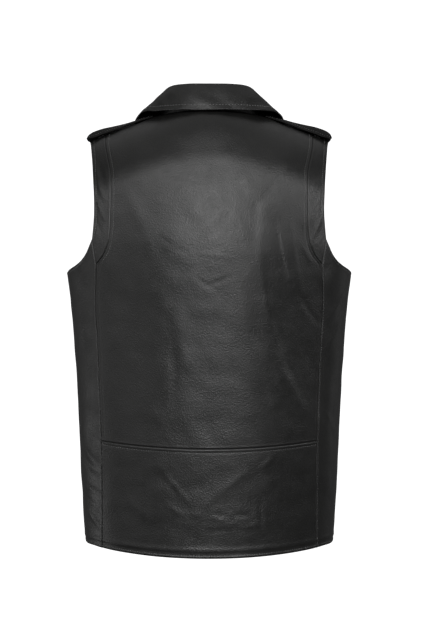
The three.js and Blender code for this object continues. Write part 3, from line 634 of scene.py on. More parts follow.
waist_edge_z = waist_z(WAIST_HALF)
blade_top_z = round_start("back", BAND_SEAM[4]["x"])
FOOT_AT, BLADE_AT = 0.5, 0.76  # shares of the height at the armhole's foot and where the blades round over
BAND_STITCHES = 6.2  # from the seam with the armhole band


def back_row(t):
    """The right edge and the run of the upper back at a share t of its height, in three stretches."""
    if t <= FOOT_AT:
        s = t / FOOT_AT
        edge = side_seam_x(mix(waist_edge_z, FOOT_Z, s))
        return edge, lambda x: run_to("back", x, mix(waist_z(x) + SEAM_GAP / 2, FOOT_Z, s))
    if t <= BLADE_AT:
        s = (t - FOOT_AT) / (BLADE_AT - FOOT_AT)
        edge = band_seam_x(mix(FOOT_Z, blade_top_z, s))
        return edge, lambda x: run_to("back", x, mix(FOOT_Z, round_start("back", x), s))
    s = (t - BLADE_AT) / (1 - BLADE_AT)
    turn = math.pi / 2 * (1 - s)
    edge = band_seam_x(crest(BAND_SEAM[-1]["x"]) - ROUND["back"] * (1 - math.cos(turn)))

    def run(x):
        neck = BACK_NECK_Z + (crest(NECK_POINT_X) - BACK_NECK_Z) * (np.abs(x) / NECK_POINT_X) ** 4
        inside = np.maximum(run_to("back", x, neck), seam_run("back", x))
        top = np.where(np.abs(x) < NECK_POINT_X, inside, seam_run("back", x))
        return mix(ROUND["back"] * math.pi / 2, top, s)

    return edge, run


back_shares = 2 * stops(312, 2.9) - 1
rows = []
for t in stops(560, 3.4):
    edge, run = back_row(t)
    x = back_shares * (edge - SEAM_GAP / 2)
    rows.append((x, run(x)))
back_x, back_run = grids(rows)
back_z = on_torso("back", back_x, back_run)[..., 2]
over_foot = np.clip((back_z - FOOT_Z) / 40, 0, 1)
seam_drop = np.where(back_z < FOOT_Z, 1.8, 1.1 + 0.35 * np.cos(over_foot * math.pi))
nape_rise = np.clip((1 - back_z) / NAPE_RISES, 0, 1)
nape_fall = np.clip((-back_z - NAPE_RISES) / NAPE_FALLS, 0, 1)
nape = -NAPE_FULL * eased(nape_rise) * (1 - eased(nape_fall))
nape = nape * np.exp(-((back_x / NAPE_HALF) ** 4))
back_edges = {
    "first": (1.5, 0.15, 0),
    "last": (0.8, 0, 0),
    "left": (seam_drop, 0.35, BAND_STITCHES),
    "right": (seam_drop, 0.1, BAND_STITCHES),
}
outer, far, normals = torso_panel(
    "upper_back", "back_panel", "back", 1, back_x, back_run, back_edges, BACK_FOLDS + BACK_CREASES, 3,
    nape,
)
beside_band = outer[:, 0, 2] > FOOT_Z + 4
rows = [(edge, BAND_STITCHES, beside_band) for edge in ("left", "right")]
stitched("upper_back_stitching", outer, far, normals, rows, 0.36)

# Lower back
# A deep band of the same leather between the waist seam and the hem, the seam turned down under a row of
# stitches and the hem turned up and sewn. Sharp V creases meet over its middle.
HEM_DIP, HEM_DIP_HALF, HEM_DIP_POWER = 10.6, 170, 1.1
WAIST_PANEL_CREASES = [
    (-0.6, 2.4, (72, -512), (54, -540), (20, -574)),
    (-0.4, 6.0, (-62, -518), (-12, -550), (24, -588)),
    (-0.6, 3.4, (26, -580), (16, -586), (6, -584)),
    (-0.3, 3.4, (-12, -598), (-30, -599), (-58, -594)),
    (0.6, 1.6, (8, -606), (-8, -609), (-26, -604)),
    (-0.6, 3.0, (0, -585), (-12, -592), (-26, -590)),
    (0.5, 2.4, (-34, -580), (-44, -588), (-58, -582)),
    (-0.5, 3.0, (-40, -600), (-56, -604), (-70, -596)),
    (0.6, 2.2, (-72, -570), (-76, -586), (-74, -606)),
    (-0.5, 3.2, (62, -566), (48, -580), (34, -584)),
    (-0.2, 7.0, (-80, -520), (-84, -560), (-80, -600)),
    (0.5, 5.0, (92, -520), (84, -556), (92, -600)),
    (-0.5, 6.0, (118, -560), (104, -580), (84, -590)),
    (-0.6, 3.4, (-92, -500), (-84, -512), (-70, -520)),
]


def back_hem_z(x):
    return HEM_Z - HEM_DIP * np.maximum(0, 1 - (x / HEM_DIP_HALF) ** 2) ** HEM_DIP_POWER


def hem_ridge(far):
    """Where the turned-up hem ends inside, the leather stands a little proud."""
    return 0.1 * bell((far["first"] - 7) / 2.2) - 0.75 * bell((far["first"] - TURNED) / 2.6)


rows = []
for t in stops(160, 3.2):
    x = back_shares * (side_seam_x(mix(HEM_Z, waist_edge_z, t)) - SEAM_GAP / 2)
    rows.append((x, run_to("back", x, mix(back_hem_z(x), waist_z(x) - SEAM_GAP / 2, t))))
low_x, low_run = grids(rows)
low_edges = {"first": (0.9, 0.4, 4.2), "last": (1.0, 0.3, 6.0), "left": (1.8, 0.1, 0), "right": (1.8, 0.1, 0)}
low_z = on_torso("back", low_x, low_run)[..., 2]
in_crumple = bell((low_x + 24) / 42) * bell((low_z + 588) / 15)
crumple = (ripple(43, low_x, low_z, 12, 0.17) + ripple(44, low_x, low_z, 6.5, 0.05)) * in_crumple
outer, far, normals = torso_panel(
    "lower_back", "back_waist_panel", "back", 1, low_x, low_run, low_edges,
    BACK_FOLDS + WAIST_PANEL_CREASES, 7, lambda far: hem_ridge(far) + crumple,
)
stitched("lower_back_stitching", outer, far, normals, [("first", 4.2), ("last", 6.0)])

# Armhole bands
# A strip of leather down the back of each armhole, from the shoulder seam to a point in the side seam, sewn
# to the back and turned under and stitched along the armhole.
BACK_ARMHOLE = table(
    "z x",
    (-188, 169.8), (-153, 167.2), (-121, 168), (-85, 170.8), (-50, 175.5), (-36, 179.5),
)
ARMHOLE_TIP_X = 180
BAND_CREASES = {
    1: [
        (-1.3, 2.8, (166, -84), (160, -110), (150, -134)),
        (1.1, 2.8, (160, -78), (154, -100), (147, -120)),
        (-1.1, 2.6, (163, -130), (157, -148), (151, -162)),
        (0.6, 3.0, (166, -150), (160, -172), (153, -190)),
    ],
    -1: [
        (0.6, 3.2, (-165, -92), (-158, -112), (-148, -128)),
        (-0.5, 3.0, (-164, -150), (-158, -172), (-150, -188)),
    ],
}
back_armhole_x = column(BACK_ARMHOLE, "z", "x")
band_head_x, band_head_z = BACK_ARMHOLE[0]["x"], BACK_ARMHOLE[0]["z"]
FOOT_TRIM, BAND_BLADE_AT = 0.4, 0.52
band_columns = stops(26, 2.4)
rows = []
for t in stops(215, 3.0):
    if t <= BAND_BLADE_AT:
        s = t / BAND_BLADE_AT
        start_z = mix(FOOT_Z, blade_top_z, s)
        start_x = band_seam_x(start_z) + SEAM_GAP / 2
        start_run = run_to("back", start_x, mix(FOOT_Z, round_start("back", start_x), s))
        start_run -= FOOT_TRIM * (1 - s) ** 4
        edge_z = mix(band_head_z, round_start("back", band_head_x), s)
    else:
        s = (t - BAND_BLADE_AT) / (1 - BAND_BLADE_AT)
        turn = math.pi / 2 * (1 - s)
        start_x = band_seam_x(crest(BAND_SEAM[-1]["x"]) - ROUND["back"] * (1 - math.cos(turn))) + SEAM_GAP / 2
        start_run = max(ROUND["back"] * turn, seam_run("back", start_x))
        tip_z = mix(crest(band_head_x), crest(ARMHOLE_TIP_X), s)
        edge_z = tip_z - ROUND["back"] * (1 - math.cos(turn))
    edge_x = band_head_x - SEAM_GAP / 2 if edge_z <= band_head_z else back_armhole_x(edge_z)
    edge_run = max(run_to("back", edge_x, edge_z), seam_run("back", edge_x))
    rows.append((mix(start_x, edge_x, band_columns), mix(start_run, edge_run, band_columns)))
band_x, band_run = grids(rows)
band_edges = {"first": (0.6, 0, 0), "last": (0.8, 0.2, 0), "left": (1.0, 0.12, 0), "right": (0.9, 0.3, 6.4)}
for side, hand in SIDES:
    outer, far, normals = torso_panel(
        f"armhole_band_{side}_leather", f"armhole_band_{side}", "back", hand, band_x, band_run,
        band_edges, BACK_FOLDS + BAND_CREASES[hand], 11 + hand,
    )
    stitched(f"armhole_band_stitching_{side}", outer, far, normals, [("right", 6.4)], 0.36)

# Side panels
# One piece round each flank, from the back seam to the front seam, with the armhole's foot at its top. Fine
# stitches hold down the back seam, and short creases run in from it.
UNDERARM = table(
    "share z",
    (0, -188), (0.06, -210), (0.14, -222.5), (0.28, -230.3), (0.48, -234.5), (0.7, -229.5),
    (0.85, -218.5), (0.94, -207), (1, -192),
)
FRONT_SIDE_SEAM = table(
    "z x",
    (-650, 157), (-560, 158), (-422, 162), (-292, 166), (-192, 164),
)
HEM_LEVEL_SHARE = 0.14
# Width here is the distance round the flank from its outermost line, over 0 towards the back
FLANK_CREASES = {
    1: [
        (-1.6, 3.8, (34, -488), (48, -505), (68, -516)),
        (1.5, 4.0, (26, -500), (46, -520), (66, -528)),
        (-1.5, 3.6, (34, -547), (50, -552), (68, -560)),
        (1.2, 3.8, (26, -562), (48, -570), (70, -588)),
        (-1.5, 3.6, (34, -578), (50, -594), (68, -612)),
        (0.9, 8.0, (52, -250), (44, -300), (58, -350)),
        (1.2, 7.0, (-60, -300), (-30, -330), (-6, -380)),
        (1.0, 6.0, (-66, -470), (-40, -500), (-10, -520)),
    ],
    -1: [
        (-1.2, 4.0, (66, -306), (44, -282), (22, -252)),
        (1.1, 4.5, (60, -320), (40, -300), (18, -276)),
        (-0.8, 5.0, (64, -350), (50, -330), (34, -312)),
        (0.8, 7.0, (40, -380), (46, -440), (38, -500)),
        (-0.7, 4.0, (64, -436), (46, -452), (30, -476)),
        (1.2, 7.0, (-62, -290), (-34, -330), (-4, -360)),
        (1.0, 6.0, (-66, -520), (-42, -500), (-8, -480)),
    ],
}
FLANK_RADIUS = 105
FLANK_EDGES = {
    "left": (1.6, 0.35, 3.6), "right": (1.0, 0.35, 3.6), "first": (0.9, 0.2, 4.2), "last": (0.9, 0.3, 4.5),
}
underarm_z = column(UNDERARM, "share", "z")
front_side_x = column(FRONT_SIDE_SEAM, "z", "x")
hem_seam_z = float(back_hem_z(side_seam_x(HEM_Z)))
front_head_z = FRONT_SIDE_SEAM[-1]["z"]


def plan_angle(x, z):
    return np.arcsin(np.clip(x / half_width(z), 0, 1) ** (PLAN_POWER / 2))


def on_flank(angle, z):
    across = np.sin(angle) ** (2 / PLAN_POWER)
    deep = np.abs(np.cos(angle)) ** (2 / PLAN_POWER)
    y = np.where(angle < math.pi / 2, depth_at["back"](z), -depth_at["front"](z)) * deep
    return np.stack([half_width(z) * across, y, z], -1)


flank_shares = stops(190, 3.6)
rows = []
for t in stops(440, 3.6):
    hem = mix(hem_seam_z, HEM_Z, np.minimum(1, flank_shares / HEM_LEVEL_SHARE))
    z = mix(hem, underarm_z(flank_shares), t)
    back_z = mix(hem_seam_z, band_head_z, t)
    top_share = np.clip((back_z - FOOT_Z) / (band_head_z - FOOT_Z), 0, 1)
    back_edge = side_seam_x(back_z) if back_z < FOOT_Z else mix(side_seam_x(FOOT_Z), band_head_x, top_share)
    front_z = mix(HEM_Z, front_head_z, t)
    start = plan_angle(back_edge + SEAM_GAP / 2, back_z)
    end = math.pi - plan_angle(front_side_x(front_z) + SEAM_GAP / 2, front_z)
    rows.append((mix(start, end, flank_shares), z))
flank_angle, flank_z = grids(rows)
flank_places = on_flank(flank_angle, flank_z)
flank_round = on_flank(flank_angle + 0.001, flank_z) - on_flank(flank_angle - 0.001, flank_z)
flank_up = on_flank(flank_angle, flank_z + 0.1) - on_flank(flank_angle, flank_z - 0.1)
flank_normals = unit(np.cross(flank_up, flank_round))
flank_far = edge_distances(flank_places)
flank_width = (math.pi / 2 - flank_angle) * FLANK_RADIUS
for side, hand in SIDES:
    on_back = flank_places[..., 1] > 0
    flank_x = hand * flank_places[..., 0]
    fold = (fold_depth(BACK_FOLDS, flank_x, flank_z) + drape_depth(BACK_DRAPES, flank_x, flank_z)) * on_back
    depth = fold + fold_depth(FLANK_CREASES[hand], flank_width, flank_z)
    depth = depth + ripple(17 + hand, flank_width, flank_z, 44, 0.25)
    depth = depth + ripple(19 + hand, flank_width, flank_z, 15, 0.05)
    depth = with_edges(depth, flank_far, FLANK_EDGES) + hem_ridge(flank_far)
    outer, normals = panel_wall(
        f"side_panel_{side}_leather", f"side_panel_{side}", flank_places, flank_normals, depth, fold,
        hand,
    )
    rows = [(edge, stitch) for edge, (_, _, stitch) in FLANK_EDGES.items()]
    stitched(f"side_panel_stitching_{side}", outer, flank_far, normals, rows, 0.28)

# Fronts
# A plain panel on each side of the zip, from the hem to the shoulder seam. The zip edge is turned under and
# stitched, the upper edge is where the lapel folds open, and the armhole's edge is turned and stitched.
BREAK_Z = -222
GORGE_X, GORGE_Z = 60, -72
ZIP_EDGE_X = 6.5
ROW_SPREAD, GORGE_AT = 1.6, 0.62
FRONT_ARMHOLE = table(
    "z x",
    (-192, 164), (-153, 157.5), (-121, 158.5), (-85, 164), (-50, 174), (-36, 179.5),
)
FRONT_FOLDS = [
    (2.6, 16, (118, -250), (96, -330), (84, -430)),
    (2.6, 16, (-112, -262), (-100, -350), (-80, -450)),
    (2.2, 16, (100, -500), (66, -545), (40, -600)),
    (2.2, 16, (-110, -470), (-70, -530), (-44, -590)),
]
FRONT_CREASES = [
    (1.3, 4.5, (130, -236), (104, -290), (96, -340)),
    (1.1, 4.0, (138, -260), (122, -320), (126, -380)),
    (-1.0, 4.0, (118, -486), (84, -520), (52, -562)),
    (1.0, 4.5, (28, -300), (44, -350), (38, -420)),
    (-0.9, 4.0, (30, -560), (52, -580), (90, -586)),
    (1.2, 4.5, (-134, -240), (-110, -300), (-104, -360)),
    (1.0, 4.0, (-60, -300), (-74, -356), (-62, -420)),
    (-1.0, 4.2, (-126, -470), (-88, -510), (-50, -560)),
    (0.9, 4.0, (-30, -480), (-56, -520), (-60, -580)),
    (-0.8, 4.0, (-24, -590), (-52, -600), (-90, -590)),
]
front_armhole_x = column(FRONT_ARMHOLE, "z", "x")


def roll_edge(t):
    return mix(ZIP_EDGE_X, GORGE_X, t), mix(BREAK_Z, GORGE_Z, t)


def neck_edge(t):
    spread = (1 - t) ** ROW_SPREAD
    return mix(NECK_POINT_X, GORGE_X, spread), mix(crest(NECK_POINT_X), GORGE_Z, spread)


front_shares = stops(150, 3.2)


def front_row(inner_x, inner_z, outer_x, outer_z):
    return mix(inner_x, outer_x, front_shares), mix(inner_z, outer_z, front_shares)


rows = []
for t in stops(444, 3.6):
    z = mix(HEM_Z, front_head_z, t)
    rows.append(front_row(ZIP_EDGE_X, mix(HEM_Z, BREAK_Z, t), front_side_x(z) - SEAM_GAP / 2, z))
for t in np.linspace(0, 1, 57)[1:]:
    if t <= GORGE_AT:
        inner_x, inner_z = roll_edge(t / GORGE_AT)
    else:
        inner_x, inner_z = neck_edge((t - GORGE_AT) / (1 - GORGE_AT))
    z = mix(crest(ARMHOLE_TIP_X), front_head_z, (1 - t) ** ROW_SPREAD)
    rows.append(front_row(inner_x, inner_z, front_armhole_x(z), z))
front_x, front_z = grids(rows)
front_run = np.maximum(run_to("front", front_x, front_z), seam_run("front", front_x))
front_run[-1] = seam_run("front", front_x[-1])
front_edges = {"first": (0.9, 0.2, 4.2), "last": (0.6, 0, 0), "left": (0.8, 0.3, 0), "right": (1.0, 0.3, 0)}
for side, hand in SIDES:
    outer, far, normals = torso_panel(
        f"front_{side}", f"front_panel_{side}", "front", hand, front_x, front_run, front_edges,
        FRONT_FOLDS + FRONT_CREASES, 23 + hand, hem_ridge,
    )
    zip_rows = front_z[:, 0] < BREAK_Z - 2
    armhole_rows = front_z[:, -1] > front_head_z + 2
    rows = [("left", 6.5, zip_rows), ("right", 4.5, armhole_rows), ("first", 4.2)]
    stitched(f"front_stitching_{side}", outer, far, normals, rows)

# Lapels
# The tops of the fronts turned back over a soft fold, from the break above the zip to the collar, notched
# where they meet it, with a row of stitches inside the edge.
LAPEL_FOLD, LAPEL_FOLD_FROM, LAPEL_LIES = 2.8, 3.0, 2.4
LAPEL_NOTCH, LAPEL_TIP, LAPEL_FOOT = (90, -84), (110, -120), (11.5, -221)
LAPEL_BELLY, NOTCH_SHARE, LAPEL_DROP = 5, 0.6, 1.2
FOLD_AT_BREAK, FOLD_FULL_FROM = 0.55, 0.25  # the fold is smaller at the break, and full from this share up
LEAF_LIES_FROM = 0.6
ROLL_LENGTH = math.hypot(GORGE_X - ZIP_EDGE_X, GORGE_Z - BREAK_Z)


def off_front(x, z, away):
    run = run_to("front", x, z)
    return on_torso("front", x, run) + torso_normal("front", x, run) * np.asarray(away)[..., None]


def wall_about(name, node, middle, thickness, outside):
    """An even wall about a grid of middle places, its edges rounded. Returns its outer grid and distances."""
    normals = grid_normals(middle)
    far = edge_distances(middle)
    nearest = np.minimum.reduce(list(far.values()))
    half = thickness / 2 * np.sqrt(np.clip(1 - (1 - np.minimum(nearest, 1.0)) ** 2, 0.04, 1))[..., None]
    piece = shell(name, middle + normals * half, middle - normals * half, outside, outside)
    fit(piece, "vest", node)
    return middle + normals * half, far


def shown_face(outer, middle, place, axis, way):
    """The face of a wall that is seen, which at a place in its leaf lies one way along an axis."""
    seen = (outer - middle)[place][axis] * way > 0
    return outer if seen else 2 * middle - outer


lapel_leaf = np.linspace(0, 1, 26)[1:]
lapel_rows = []
for t in np.linspace(0, 1, 64):
    fold_x, fold_z = roll_edge(t - LAPEL_DROP / ROLL_LENGTH * t**3)
    inward = np.array([BREAK_Z - GORGE_Z, GORGE_X - ZIP_EDGE_X]) / ROLL_LENGTH
    size = mix(FOLD_AT_BREAK, 1, min(1, t / FOLD_FULL_FROM))
    radius, start = LAPEL_FOLD * size, LAPEL_FOLD_FROM * size
    turns = math.pi * (np.linspace(0, 1, 11) - 0.5)
    in_by = np.concatenate([[SEAM_GAP], start + radius * np.cos(turns)])
    out_by = np.concatenate([[-WALL / 2], radius - WALL / 2 + radius * np.sin(turns)])
    fold_part = off_front(fold_x + inward[0] * in_by, fold_z + inward[1] * in_by, out_by)
    bulge = LAPEL_BELLY * math.sin(math.pi * t)
    outer_x = mix(LAPEL_FOOT[0], LAPEL_TIP[0], t) + bulge
    outer_z = mix(LAPEL_FOOT[1], LAPEL_TIP[1], t) - bulge
    top = (0, NOTCH_SHARE, 1)
    top_x = np.interp(lapel_leaf, top, (fold_x, LAPEL_NOTCH[0], outer_x))
    top_z = np.interp(lapel_leaf, top, (fold_z, LAPEL_NOTCH[1], outer_z))
    leaf_x = mix(mix(fold_x, outer_x, lapel_leaf), top_x, t**3)
    leaf_z = mix(mix(fold_z, outer_z, lapel_leaf), top_z, t**3) - LAPEL_DROP * t**3
    lies = mix(2 * radius - WALL / 2, LAPEL_LIES, np.minimum(1, lapel_leaf / LEAF_LIES_FROM))
    leaf_part = off_front(leaf_x, leaf_z, lies)
    lapel_rows.append(np.concatenate([fold_part, leaf_part]))
lapel_middle = np.array(lapel_rows)
for side, hand in SIDES:
    middle = mirrored(lapel_middle, hand)
    outer, far = wall_about(
        f"lapel_{side}_leather", f"lapel_{side}", middle, WALL, panel_leather,
    )
    face = shown_face(outer, middle, (20, 30), 1, -1)
    stitched(f"lapel_stitching_{side}", face, far, face - middle, [("right", 7.0, slice(6, None))])

# Collar
# A stand that rises from the neck seam, a soft fold, and a leaf that falls over the shoulders, of two layers
# of leather sewn together, turned and stitched inside the leaf's edge.
COLLAR = table(
    "share foldX foldY foldZ edgeX edgeY edgeZ face",
    (0.0, 0, 60, 35.2, 0, 78, -1.5, 90),
    (0.16, 32, 55.5, 35.6, 42, 71, -1, 66),
    (0.32, 56, 38, 35, 79, 52, 0.5, 40),
    (0.45, 67.5, 12, 28.5, 101, 15, 2.5, 12),
    (0.57, 71, -14, 17.5, 111.5, -14, -4.5, -14),
    (0.69, 70.5, -40, 1, 114, -40, -18, -40),
    (0.83, 65, -70, -30, 118, -66, -48, -66),
    (1.0, 56, -93.5, -68.5, 119, -86.5, -86, -80),
)
COLLAR_FOLD_RADIUS, LEAF_BULGE = 2.8, 0.014
WAVES_FROM, WAVES_FULL = 40, 90  # how far from the stand's foot the leaf begins to wave, and waves in full
STAND_DEEP, STAND_INSIDE = 5, 2.8  # how far the stand's foot goes down inside the panels it is sewn to
RIGHT_COLLAR_SPREAD = 1.012  # the collar lies a little wider over the right shoulder
collar_at = {wanted: column(COLLAR, "share", wanted) for wanted in COLLAR[0]}


def neck_seam(share):
    if share < 0.5:
        x = NECK_POINT_X * math.sin(share * math.pi)
        z = BACK_NECK_Z + (crest(NECK_POINT_X) - BACK_NECK_Z) * (x / NECK_POINT_X) ** 4
        return on_torso("back", x, run_to("back", x, z))
    x, z = neck_edge(1 - (share - 0.5) / 0.5)
    return on_torso("front", x, run_to("front", x, z))


stand_steps = np.linspace(0, 1, 12)[:-1, None]
turn_steps = np.linspace(0, 1, 13)
leaf_steps = stops(60, 3.0)[1:, None]
collar_rows = []
for signed in np.linspace(-1, 1, 181):
    s = abs(signed)
    seam = neck_seam(s)
    fold, edge = (np.array([collar_at[line + axis](s) for axis in "XYZ"]) for line in ("fold", "edge"))
    rise = unit(fold - seam)
    face = math.radians(collar_at["face"](s))
    out = np.array([math.cos(face), math.sin(face), 0])
    out = unit(out - rise * out.dot(rise))
    foot = seam - rise * STAND_DEEP - out * STAND_INSIDE
    stand_top = fold - out * COLLAR_FOLD_RADIUS
    fall = edge - fold
    turned = math.atan2(fall.dot(out), fall.dot(rise)) * turn_steps[:, None]
    turn_part = fold - out * COLLAR_FOLD_RADIUS * np.cos(turned) + rise * COLLAR_FOLD_RADIUS * np.sin(turned)
    start = turn_part[-1]
    bulge = LEAF_BULGE * np.linalg.norm(edge - start) * np.sin(math.pi * leaf_steps)
    leaf_part = mix(start, edge, leaf_steps) + (out + rise) * bulge
    row = np.concatenate([mix(foot, stand_top, stand_steps), turn_part, leaf_part])
    row[:, 0] *= -RIGHT_COLLAR_SPREAD if signed < 0 else 1
    collar_rows.append(row)
collar_middle = np.array(collar_rows)
collar_normals = grid_normals(collar_middle)
collar_run = edge_distances(collar_middle)
in_leaf = np.clip((collar_run["left"] - WAVES_FROM) / (WAVES_FULL - WAVES_FROM), 0, 1)
soft_wave = ripple(31, collar_run["first"], collar_run["left"], 42, 0.7) * in_leaf
soft_wave += ripple(33, collar_run["first"], collar_run["left"], 17, 0.14) * in_leaf
collar_middle = collar_middle + collar_normals * soft_wave[..., None]
outer, far = wall_about(
    "collar_leather", "collar", collar_middle, WALL + 0.6, panel_leather
)
face = shown_face(outer, collar_middle, (90, 40), 1, 1)
stitched("collar_stitching", face, far, face - collar_middle, [("right", 7.6)], 0.5, 4.6, 2.4)

# Epaulettes
# Stiff double straps of leather that bridge the shoulders from under the collar and turn down at the
# armholes, stitched near both edges.
STRAP_THICK, STRAP_HALF, STRAP_CORNER = 3.0, 20, 0.06
RIGHT_STRAP_LIFT = 2.2  # the right strap sits this much prouder than the left one
STRAP_TOP = table(
    "x z arch",
    (84, 0.2, 1.9),
    (98, -3.9, 2.4),
    (110, -7.2, 3.2),
    (122, -10.7, 4.2),
    (134, -13.6, 6.2),
    (146, -16.2, 7.9),
    (158, -18.7, 9.6),
    (168, -21.8, 10.4),
    (175.2, -24.8, 9.4),
    (180.0, -28.2, 7.4),
    (182.6, -32.2, 5.2),
    (183.2, -36.6, 3.2),
)
# The straps' leather is painted darker than the panels' leather and reflects less, as painted shade for the
# straps' shaded faces
trim_leather = grained_leather(
    "trim_leather", (0.003, 0.003, 0.0029), (0.006, 0.006, 0.0058), 0.6, 0.46, 0.12
)
top = np.array([(p["x"], p["z"]) for p in STRAP_TOP], float)
top_run = run_along(top)
top_knots = [{"run": r, **place} for r, place in zip(top_run, STRAP_TOP)]
strap_side = 2 * stops(2 * STRAP_HALF, 2.4) - 1
strap_run = stops(top_run[-1], 2.6)[:, None] * top_run[-1] * (1 - STRAP_CORNER * strap_side**4)
strap_x, strap_z, strap_arch = (column(top_knots, "run", name)(strap_run) for name in ("x", "z", "arch"))
slope = unit(np.stack([np.gradient(strap_x, axis=0), np.gradient(strap_z, axis=0)], -1))
strap_middle = np.stack([
    strap_x + slope[..., 1] * STRAP_THICK / 2,
    np.broadcast_to(strap_side * STRAP_HALF, strap_x.shape),
    strap_z - slope[..., 0] * STRAP_THICK / 2 - strap_arch * strap_side**2,
], -1)
for side, hand in SIDES:
    middle = mirrored(strap_middle, hand)
    if hand < 0:
        middle[..., 2] += RIGHT_STRAP_LIFT * np.clip(strap_run / 30, 0, 1) ** 2 * (1 - strap_side**2)
    outer, far = wall_about(
        f"epaulette_{side}_leather", f"epaulette_{side}", middle, STRAP_THICK, trim_leather,
    )
    face = shown_face(outer, middle, (10, 12), 2, 1)
    rows = [("left", 3.6), ("right", 3.6)]
    stitched(f"epaulette_stitching_{side}", face, far, face - middle, rows, 0.3)

# Snaps
# A dark metal stud on the shoulder closes in the socket under each strap's outer end. It is pressed sheet,
# plated dark, its edges rounded.
def metal(name, base, gloss):
    """Plated zinc or steel, with a faint cloudiness and fine rubbing marks in its polish."""
    material, tree, where = new_material(name)
    cloud = noise(tree, where, 260.0, 5.0, 0.65)["Fac"]
    coloured(tree, cloud, 0.3, [0.8 * part for part in base], 0.7, base)
    glossed(tree, cloud, To_Min=gloss - 0.06, To_Max=gloss + 0.08)
    coat(tree, Metallic=1)
    embossed(tree, (cloud, 0.15, 0.0001))
    return material


def select_facing(piece, axis):
    """In edit mode, select only the faces that look down an axis."""
    bpy.ops.mesh.select_mode(type="FACE")
    bpy.ops.mesh.select_all(action="DESELECT")
    bpy.ops.object.mode_set(mode="OBJECT")
    for face in piece.data.polygons:
        face.select = face.normal[axis] < -0.9
    bpy.ops.object.mode_set(mode="EDIT")


def round_edges(piece, width, segments):
    """Out of edit mode, with the sharp edges rounded."""
    bpy.ops.object.mode_set(mode="OBJECT")
    bevel = piece.modifiers.new("rounding", "BEVEL")
    bevel.width = width * MM
    bevel.segments = segments
    bevel.limit_method = "ANGLE"
    bevel.angle_limit = math.radians(28)
    bpy.ops.object.modifier_apply(modifier="rounding")


def rounded_metal(name, node, body, material, edge, recess=None):
    """A metal piece from its CAD solid: its edges are rounded, and a face may be pressed in a little."""
    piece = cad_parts[node].copy()
    piece.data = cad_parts[node].data.copy()
    piece.name = name
    piece.parent = None
    for key in [key for key in piece.keys() if key.startswith("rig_")]:
        del piece[key]
    put_in_scene(piece)
    bpy.ops.object.select_all(action="DESELECT")
    bpy.context.view_layer.objects.active = piece
    piece.select_set(True)
    bpy.ops.object.mode_set(mode="EDIT")
    bpy.ops.mesh.select_all(action="SELECT")
    bpy.ops.mesh.remove_doubles(threshold=0.01 * MM)
    bpy.ops.mesh.dissolve_limited(angle_limit=math.radians(1))
    bpy.ops.mesh.normals_make_consistent(inside=False)
    if recess:
        select_facing(piece, 1)
        bpy.ops.mesh.inset(thickness=recess * MM, depth=-0.35 * MM)
    round_edges(piece, edge, 3)
    bpy.ops.object.shade_smooth_by_angle(angle=math.radians(40))
    piece.data.materials.clear()
    piece.data.materials.append(material)
    fit(piece, body, node)


snap_metal = metal("snap_metal", (0.11, 0.11, 0.112), 0.42)
for side, _ in SIDES:
    rounded_metal(f"snap_{side}", f"epaulette_snap_{side}", "vest", snap_metal, 0.3)

# Zip
# Two woven tapes are sewn behind the fronts' edges. Metal teeth crimped on them are closed from the hem up to
# the slider under the lapels, and its bow holds a pull tab that swings.
ZIP_FOOT, CHAIN_HEAD, TAPE_HEAD = HEM_Z + 4, -239, BREAK_Z - 4
TAPE_APART, TAPE_REACH, TAPE_DEEP, TAPE_THICK = 0.15, 22, -2.9, 1.0
TOOTH_PITCH, TOOTH_SIZE, TOOTH_DEEP, TOOTH_ASIDE = 2.9, (3.3, 2.5, 1.2), -0.75, 1.35

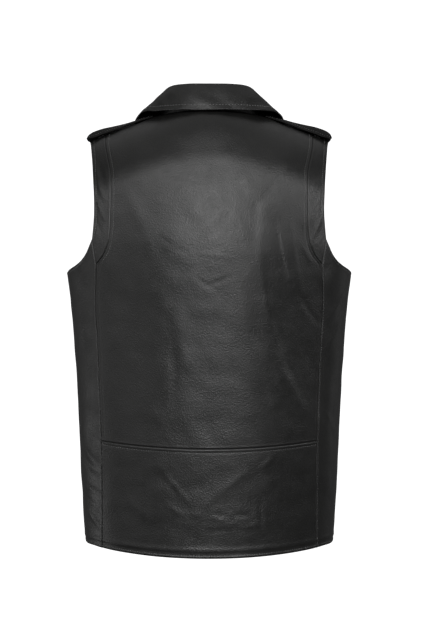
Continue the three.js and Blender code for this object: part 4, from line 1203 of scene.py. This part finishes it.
# The tape is black polyester twill, its warp and weft two fine waves
tape_cloth, tree, where = new_material("tape_cloth")
layers = []
for direction in ("X", "Z"):
    wave = new_node(tree, "ShaderNodeTexWave", Vector=where, Scale=420.0, Distortion=0.4)
    wave.bands_direction = direction
    layers.append((wave.outputs["Fac"], 0.5, 0.0003))
embossed(tree, *layers)
coloured(tree, noise(tree, where, 45.0, 4.0)["Fac"], 0, (0.006, 0.006, 0.006), 1, (0.016, 0.016, 0.016))
coat(tree, Roughness=0.85)
zip_metal = metal("zip_metal", (0.56, 0.56, 0.565), 0.27)
tape_x, tape_z = np.meshgrid(np.linspace(TAPE_APART, TAPE_REACH, 11), np.linspace(ZIP_FOOT, TAPE_HEAD, 110))
tape_middle = off_front(tape_x, tape_z, np.full(tape_x.shape, TAPE_DEEP))
for side, hand in SIDES:
    wall_about(
        f"zip_tape_{side}_cloth", f"zip_tape_{side}", mirrored(tape_middle, hand),
        TAPE_THICK, tape_cloth,
    )

bpy.ops.object.select_all(action="DESELECT")
bpy.ops.mesh.primitive_cube_add(size=MM, location=(0, 0, 0))
tooth = bpy.context.active_object
bpy.ops.object.mode_set(mode="EDIT")
bpy.ops.mesh.select_all(action="SELECT")
bpy.ops.transform.resize(value=TOOTH_SIZE)
select_facing(tooth, 0)
bpy.ops.mesh.extrude_region_move(TRANSFORM_OT_translate={"value": (-1.1 * MM, 0, 0)})
bpy.ops.transform.resize(value=(1, 0.72, 0.8))
round_edges(tooth, 0.28, 2)
tooth_places = np.array([v.co[:] for v in tooth.data.vertices])
tooth_faces = [tuple(face.vertices) for face in tooth.data.polygons]
bpy.data.objects.remove(tooth)
teeth_count = int((CHAIN_HEAD - ZIP_FOOT - TOOTH_PITCH) / TOOTH_PITCH)
for side, hand in SIDES:
    teeth_z = ZIP_FOOT + 1.2 + TOOTH_PITCH * (np.arange(teeth_count) + (0.5 if hand < 0 else 0))
    seats = off_front(np.zeros(teeth_count), teeth_z, np.full(teeth_count, TOOTH_DEEP)) * MM
    seats[:, 0] = hand * TOOTH_ASIDE * MM
    places = [seat + mirrored(tooth_places, hand) for seat in seats]
    faces = repeated([face[::hand] for face in tooth_faces], len(tooth_places), teeth_count)
    teeth = mesh_piece(f"zip_teeth_{side}", np.concatenate(places), faces, zip_metal)
    fit(teeth, "vest", "zip_chain")

rounded_metal("slider_body", "zip_slider", "vest", zip_metal, 0.6, recess=1.3)
rounded_metal("slider_bow", "zip_slider_bow", "vest", zip_metal, 0.35)
rounded_metal("pull_tab", "zip_pull", "zip_pull", zip_metal, 0.35, recess=0.9)
